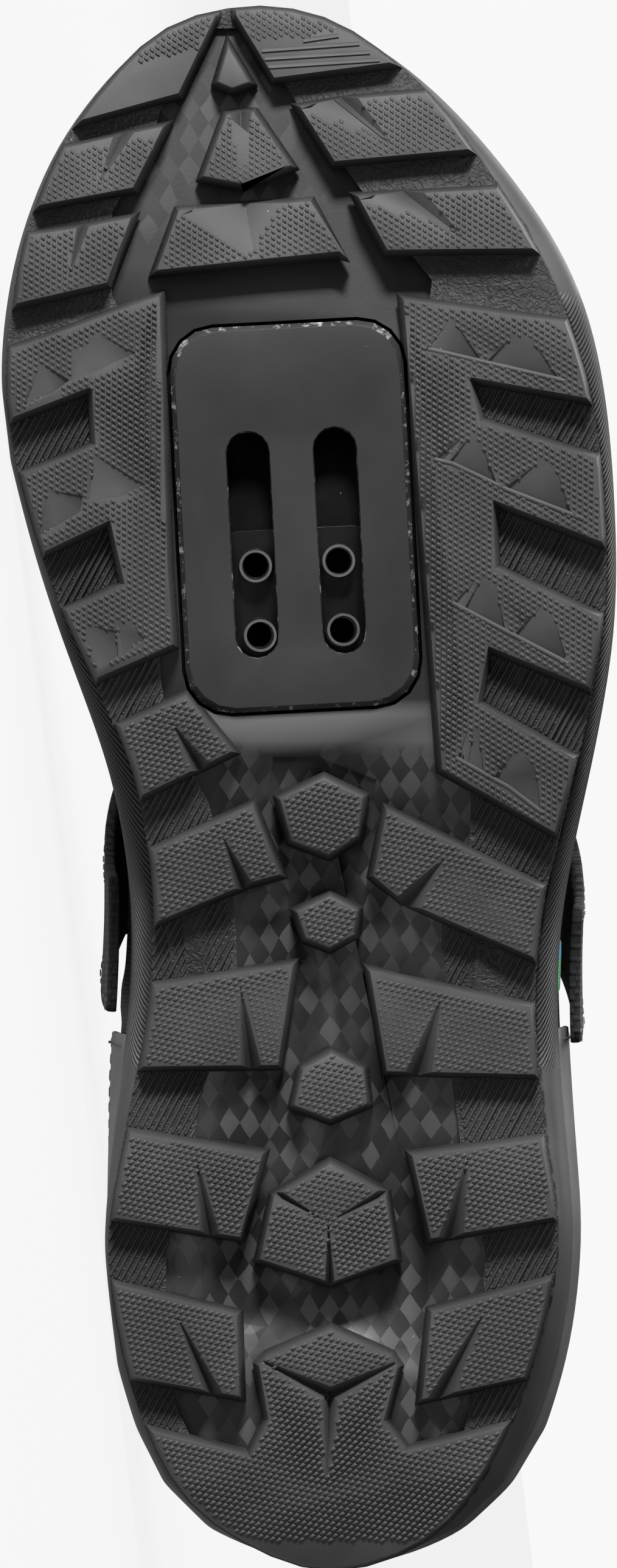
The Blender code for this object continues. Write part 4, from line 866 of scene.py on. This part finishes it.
# %% Worn rims of the bosses
# Boss places in mm: to the outer side and from the heel
BOSSES = ((-12.5, 169.4), (-11.7, 157.7), (1.5, 170.3), (2.3, 158.7))
RIM_INNER, RIM_OUTER, RIM_SIDES = 2.3 * MM, 2.75 * MM, 40
RIM_PROFILE = ((RIM_INNER, -0.05 * MM), (RIM_INNER, 0.10 * MM), (RIM_OUTER, 0.10 * MM),
               (RIM_OUTER, -0.05 * MM))
rim_points, rim_faces = [], []
for side, along in BOSSES:
    centre = Vector((-side, along, -10.0)) * MM
    beside = centre + Vector(((RIM_INNER + RIM_OUTER) / 2, 0, 0))
    top = steel_tree.ray_cast(beside, Vector((0, 0, 1)))[0].z
    base = len(rim_points)
    for radius, rise in RIM_PROFILE:
        for step in range(RIM_SIDES):
            turn = 2 * pi * step / RIM_SIDES
            rim_points.append((centre.x + radius * cos(turn), centre.y + radius * sin(turn),
                               top - rise))
    for ring in range(4):
        for step in range(RIM_SIDES):
            after = (step + 1) % RIM_SIDES
            one, two = base + ring * RIM_SIDES, base + (ring + 1) % 4 * RIM_SIDES
            rim_faces.append((one + step, one + after, two + after, two + step))
rims = mesh_object("boss_rims", rim_points, rim_faces)
finish_piece(rims, bright_steel, sharp=50)

# %% [markdown]
# ## Side wall
# The foam's side wall flares out above the tread and is moulded with fine slanting ribs.

# %% Side wall
def smoothed(piece, levels, keep=180.0):
    """Subdivides a piece; edges sharper than keep degrees stay sharp."""
    work = bmesh.new()
    work.from_mesh(piece.data)
    bmesh.ops.join_triangles(work, faces=work.faces, angle_face_threshold=radians(60),
                             angle_shape_threshold=radians(120))
    crease = work.edges.layers.float.new("crease_edge")
    for edge in work.edges:
        if len(edge.link_faces) == 2 and edge.calc_face_angle(0.0) > radians(keep):
            edge[crease] = 0.9
    work.to_mesh(piece.data)
    work.free()
    smooth = piece.modifiers.new("smooth", "SUBSURF")
    smooth.levels = levels
    smooth.render_levels = levels
    evaluated(piece)


def tread_edge(along, way):
    """How far the tread reaches to one side at a place along the shoe, searched from outside."""
    for far in np.arange(0.060, 0.0, -0.0004):
        if depth_at(way * far, along) < 0.02:
            return way * far
    return 0.0


stations = np.linspace(1.0, 263.0, 132) * MM
inner_edge = np.array([tread_edge(along, 1) for along in stations])
outer_edge = np.array([tread_edge(along, -1) for along in stations])
wall = merged_copy("midsole", "side_wall")
smoothed(wall, 2, 40)
points = read_points(wall.data)
past_inner = points[:, 0] - np.interp(points[:, 1], stations, inner_edge)
past_outer = np.interp(points[:, 1], stations, outer_edge) - points[:, 0]
store(wall, "edge", np.maximum(past_inner, past_outer))
finish_piece(wall, wall_rubber, ["midsole"], sharp=35)

# %% [markdown]
# ## Upper, straps and insole
# The cloth pieces follow the solids, smoothed by subdivision. Creases are listed one by one: each is
# a path on the skin, given by places along the shoe and angles round it, and is pressed in as a
# soft trough between two low ridges. Air holes and weave are left to the material.

# %% Cloth helpers
CORE = Vector((4.0, 0.0, 28.0)) * MM


def core_at(along):
    return Vector((CORE.x, along, CORE.z))


def weave_coordinates(piece):
    """Coordinates for the weave: along the shoe, and round its girth."""
    points = read_points(piece.data)
    girth = np.arctan2(points[:, 2] - CORE.z, points[:, 0] - CORE.x) * 0.045
    store(piece, "weave", np.column_stack((points[:, 1], girth, np.zeros(len(points)))))


def faces_out(place, normal):
    return normal.dot(place - core_at(place.y)) > 0


def sheet_edges(piece, keep, limit=50):
    """Edges between a sheet and its rim: both ends, the sheet's normal and the way into it."""
    work = bmesh.new()
    work.from_mesh(piece.data)
    found = []
    for edge in work.edges:
        if len(edge.link_faces) != 2 or edge.calc_face_angle(0.0) < radians(limit):
            continue
        face = max(edge.link_faces, key=lambda item: item.calc_area())
        start, end = (vertex.co.copy() for vertex in edge.verts)
        middle = (start + end) / 2
        if not keep(middle, face.normal):
            continue
        into = face.normal.cross((end - start).normalized())
        if into.dot(face.calc_center_median() - middle) < 0:
            into.negate()
        found.append((start, end, face.normal.copy(), into))
    work.free()
    return found


def near_distance(points, targets):
    """Distance of each point to the nearest target."""
    tree = KDTree(len(targets))
    for index, target in enumerate(targets):
        tree.insert(target, index)
    tree.balance()
    return np.array([tree.find(point)[2] for point in points])


def steps_along(edges, pitch):
    """Even places along edges, each with its edge's direction and the way into the sheet."""
    for start, end, normal, into in edges:
        count = max(1, round((end - start).length / pitch))
        for step in range(count):
            yield start.lerp(end, (step + 0.5) / count), (end - start).normalized(), into


def cloth_piece(node, name, finish, levels=1, keep=180.0):
    """A cloth or panel piece that follows its solid, smoothed and dressed."""
    piece = merged_copy(node, name)
    smoothed(piece, levels, keep)
    weave_coordinates(piece)
    finish_piece(piece, finish, [node], sharp=60)
    return piece


# %% The upper
# Creases: places along the shoe in mm with angles round it in degrees, width and depth in mm
CREASES = (
    (((166, 22), (177, 46), (183, 68)), 2.4, 1.2),
    (((183, 112), (178, 132), (167, 158)), 2.4, 1.2),
    (((180, 20), (192, 52), (197, 88), (192, 126), (181, 160)), 2.8, 1.5),
    (((196, 26), (206, 58), (210, 92), (205, 122), (194, 154)), 2.2, 0.9),
    (((148, 26), (140, 40), (136, 56)), 2.4, 0.8),
    (((92, 30), (84, 44), (82, 60)), 2.6, 1.0),
    (((92, 150), (84, 136), (82, 120)), 2.6, 1.0),
    (((66, 38), (58, 50), (54, 62)), 2.4, 0.8),
    (((66, 142), (58, 130), (54, 118)), 2.4, 0.8),
)
BAND_WIDTH, BAND_RISE = 9.0 * MM, 0.35 * MM
# The collar's padding: its rise, its front end, and where it begins and ends below the rim
PUFF, COLLAR_FRONT = 0.8 * MM, 82 * MM
PUFF_FROM, PUFF_TO, PUFF_ROLL = 3 * MM, 21 * MM, 9 * MM
# Air holes lie between two places along the shoe, away from the rim and the sole
HOLES_FROM, HOLES_TO, HOLES_RIM = 150 * MM, 222 * MM, 14 * MM
ABOVE_SOLE = 30 * MM
# Near an overlay the skin stays where it is
OVERLAY_SEARCH = 6 * MM

upper = merged_copy("upper", "upper_cloth")
rim = sheet_edges(upper, lambda place, normal: place.z > ABOVE_SOLE and faces_out(place, normal))
rim_places = [spot for spot, run, into in steps_along(rim, 1.5 * MM)]
overlays = [merged_copy(name, name) for name in ("heel_counter", "toe_cap", "midsole")]
overlay_tree = tree_of(overlays)
smoothed(upper, 3)
upper_tree = tree_of([upper])


def skin_at(along, degrees):
    way = Vector((cos(radians(degrees)), 0, sin(radians(degrees))))
    centre = core_at(along * MM)
    return upper_tree.ray_cast(centre + way * 0.12, -way)[0] or centre


def crease_path(corners):
    keys = np.linspace(0, 1, len(corners))
    shares = np.linspace(0, 1, 40)
    rows = np.interp(shares, keys, [row[0] for row in corners])
    turns = np.interp(shares, keys, [row[1] for row in corners])
    return [skin_at(*pair) for pair in zip(rows, turns)]


points = read_points(upper.data)
normals = read_points(upper.data, "normal")
outside = np.einsum("ij,ij->i", normals[:, ::2], points[:, ::2] - (CORE.x, CORE.z)) > 0
rim_far = near_distance(points, rim_places)
free = np.array([overlay_tree.find_nearest(Vector(point), OVERLAY_SEARCH)[3] or OVERLAY_SEARCH
                 for point in points])
free = np.clip((free - 1.2 * MM) / (3 * MM), 0, 1)
push = np.zeros(len(points))
for corners, width, depth in CREASES:
    far = near_distance(points, crease_path(corners)) / (width * MM)
    push += (-depth * np.exp(-far ** 2) + depth * 0.45 * np.exp(-(far - 2.1) ** 2)) * MM
band = np.clip((BAND_WIDTH - rim_far) / (0.8 * MM), 0, 1)
push += band * BAND_RISE
collar = (points[:, 1] < COLLAR_FRONT) & (rim_far > PUFF_FROM) & (rim_far < PUFF_TO)
push += np.where(collar, PUFF * np.abs(np.sin(pi * (rim_far - PUFF_FROM) / PUFF_ROLL)), 0)
puffed = points + normals * (push * free * np.where(outside, 1.0, 0.0))[:, None]
puffed += normals * (np.where(collar & ~outside, 0.6 * PUFF, 0))[:, None]
write_points(upper.data, puffed)
store(upper, "band", band * outside)
store(upper, "lining", (~outside).astype(float))
store(upper, "holes", ((points[:, 1] > HOLES_FROM) & (points[:, 1] < HOLES_TO) & outside
                       & (rim_far > HOLES_RIM) & (free > 0.9) & (points[:, 2] > ABOVE_SOLE)))
weave_coordinates(upper)
upper_skin = tree_of([upper])
finish_piece(upper, cloth, ["upper"], sharp=60)

# %% Tongue, insole, straps and panels
tongue = cloth_piece("tongue", "tongue_pad", tongue_cloth, 2)
insole = cloth_piece("insole", "footbed_pad", footbed)
cloth_piece("instep_strap", "instep_strap_webbing", webbing, 2, 60)
cloth_piece("forefoot_strap", "forefoot_strap_webbing", webbing, 2, 60)
cloth_piece("strap_tab", "strap_tab_weave", tab_cloth)
cloth_piece("toe_cap", "toe_bumper", panel_satin, 2, 50)
cloth_piece("heel_counter", "heel_panel", panel_satin, 2, 50)

# %% [markdown]
# ## Stitches and binding
# Stitches run beside the opening, the panels and the straps. They are one small shape set on
# places that are found beside the edges of the solids. The opening's rim is bound with a tape,
# made by drawing a round profile along the rim's own edges.

# %% Stitches
STITCH = (2.1 * MM, 0.5 * MM, 0.20 * MM)
STITCH_PITCH = 3.1 * MM
SEWN_ABOVE = 26 * MM


def stitch_places(edges, inset, skin):
    """Places beside a row of edges, each with the turn that lays a stitch along the edge."""
    found = []
    for spot, run, into in steps_along(edges, STITCH_PITCH):
        place, out, index, far = skin.find_nearest(spot + into * inset)
        if far > 2.5 * MM or not faces_out(place, out):
            continue
        side = out.cross(run).normalized()
        turn = Matrix((side.cross(out), side, out)).transposed().to_euler()
        found.append((*place, *turn))
    return found


def stitch_shape(length, width, height):
    """A short thread that rises from the cloth and dips back into it."""
    points = []
    for x, share in ((-0.5, 0.1), (-0.3, 1.0), (0.3, 1.0), (0.5, 0.1)):
        for y, z in ((-0.5, -0.3), (-0.3, 0.8), (0.3, 0.8), (0.5, -0.3)):
            points.append((x * length, y * width, z * height * share))
    faces = [(0, 1, 2, 3), (15, 14, 13, 12)]
    for row in range(3):
        for step in range(4):
            one, two = row * 4 + step, row * 4 + (step + 1) % 4
            faces.append((one, one + 4, two + 4, two))
    return mesh_object("stitch_shape", points, faces)


def outer_edges(node):
    piece = merged_copy(node, node + "_edges")
    edges = sheet_edges(piece, faces_out)
    skin = tree_of([piece])
    bpy.data.objects.remove(piece)
    return edges, skin


places = stitch_places(rim, 4.0 * MM, upper_skin) + stitch_places(rim, 7.4 * MM, upper_skin)
for node in ("heel_counter", "toe_cap", "instep_strap", "forefoot_strap"):
    edges, skin = outer_edges(node)
    edges = [edge for edge in edges if edge[0].z + edge[1].z > 2 * SEWN_ABOVE]
    places += stitch_places(edges, 2.0 * MM, skin)
stitches = repeated("stitches", places, stitch_shape(*STITCH), thread, 0.08, 5)
for piece in overlays:
    bpy.data.objects.remove(piece)
finish_piece(stitches, thread, sharp=70)

# %% Binding of the opening
BINDING_RADIUS = 1.35 * MM
WALL_HALF = 1.1 * MM

net, given, gives = group("round_tape", {"Edges": GEOMETRY, "Radius": FLOAT, "Finish": MATERIAL},
                          {"Tape": GEOMETRY}, "GeometryNodeTree")
route = net.node("GeometryNodeMeshToCurve", {"Mesh": given["Edges"]})
ring = net.node("GeometryNodeCurvePrimitiveCircle", {"Resolution": 12, "Radius": given["Radius"]})
tape = net.node("GeometryNodeCurveToMesh", {"Curve": route.outputs[0], "Fill Caps": True,
                                            "Profile Curve": ring.outputs[0]})
painted = net.node("GeometryNodeSetMaterial", {"Geometry": tape.outputs[0],
                                               "Material": given["Finish"]})
net.feed(painted.outputs[0], gives[0])
ROUND_TAPE = net.tree


def taped(name, edges, offset, radius, finish):
    """A tape along the edges, moved in from the sheet by the offset."""
    spots, moved, pairs = {}, [], []
    for start, end, normal, into in edges:
        pair = []
        for corner in (start, end):
            key = tuple(round(value / (0.01 * MM)) for value in corner)
            if key not in spots:
                spots[key] = len(moved)
                moved.append(corner - normal * offset)
            pair.append(spots[key])
        pairs.append(pair)
    piece = mesh_object(name, moved, edges=pairs)
    use_nodes(piece, ROUND_TAPE, Radius=radius, Finish=finish)
    return piece


binding = taped("collar_binding", rim, WALL_HALF, BINDING_RADIUS, binding_tape)
finish_piece(binding, binding_tape, sharp=70)

# %% [markdown]
# ## Floor, light and camera
# The floor and, to the camera alone, the world are near white, as in the photo. The key light comes
# from the toe, so front edges are bright and the walls behind the lugs stay dark.

# %% Stage
CAMERA_REACH = 2.2
AIM = Vector((3.6, 132.7, 0.0)) * MM
PHOTO_HEIGHT, PIXELS_A_MM = 2576, 9.78
FIELD = PHOTO_HEIGHT / PIXELS_A_MM * MM
SENSOR = 36.0
WHITE = (1.0, 1.0, 1.0, 1.0)
FLOOR_CORNERS = ((-7, -7, 0), (7, -7, 0), (7, 7, 0), (-7, 7, 0))
FLOOR_GLOW = 0.87
MIDDLE = Vector((-0.02, -0.05, 0.05))

# The floor looks evenly lit to the camera, and sends less light back at the shoe
floor = mesh_object("floor", FLOOR_CORNERS, [(0, 1, 2, 3)])
look = Look("floor_look", 1.0, 0.0)
look.feed(grey(0.06), look.surface["Base Color"])
look.feed(WHITE, look.surface["Emission Color"])
seen = look.node("ShaderNodeLightPath").outputs["Is Camera Ray"]
glow = look.range(seen, 0.0, 1.0, 0.45 * FLOOR_GLOW, FLOOR_GLOW)
look.feed(glow, look.surface["Emission Strength"])
floor.data.materials.append(look.material)

world = bpy.data.worlds.new("white_room")
bpy.context.scene.world = world
world.use_nodes = True
net = Net(world.node_tree)
back = world.node_tree.nodes["Background"].inputs
back["Color"].default_value = WHITE
seen = net.node("ShaderNodeLightPath").outputs["Is Camera Ray"]
net.feed(net.range(seen, 0.0, 1.0, 0.018, 0.94), back["Strength"])


def area_light(name, place, power, size):
    """A soft lamp that points at the middle of the shoe."""
    lamp = bpy.data.lights.new(name, "AREA")
    lamp.energy = power
    lamp.shape = "RECTANGLE"
    lamp.size, lamp.size_y = size
    made = new_object(name, lamp)
    made.location = place
    made.rotation_euler = (MIDDLE - Vector(place)).to_track_quat("-Z", "Y").to_euler()


area_light("key", (-1.90, -1.35, 0.42), 84.0, (0.40, 0.50))
area_light("fill", (0.25, -1.4, 0.80), 2.2, (0.9, 0.6))
area_light("side", (-0.55, -0.55, 1.60), 9.0, (0.5, 0.5))
area_light("back", (-0.50, 1.10, 1.05), 13.0, (0.9, 0.7))

# %% Camera
target = TURN @ AIM + ORIGIN
lens = bpy.data.cameras.new("photo_camera")
lens.sensor_fit = "VERTICAL"
lens.sensor_height = SENSOR
lens.lens = SENSOR * CAMERA_REACH / FIELD
lens.clip_start, lens.clip_end = 0.1, 20.0
camera = new_object("photo_camera", lens)
facing = Matrix((-inner_way, toe_way, -up)).transposed().to_4x4()
camera.matrix_world = Matrix.Translation(target - up * CAMERA_REACH) @ facing
bpy.context.scene.camera = camera
bpy.context.scene.view_settings.view_transform = "Standard"
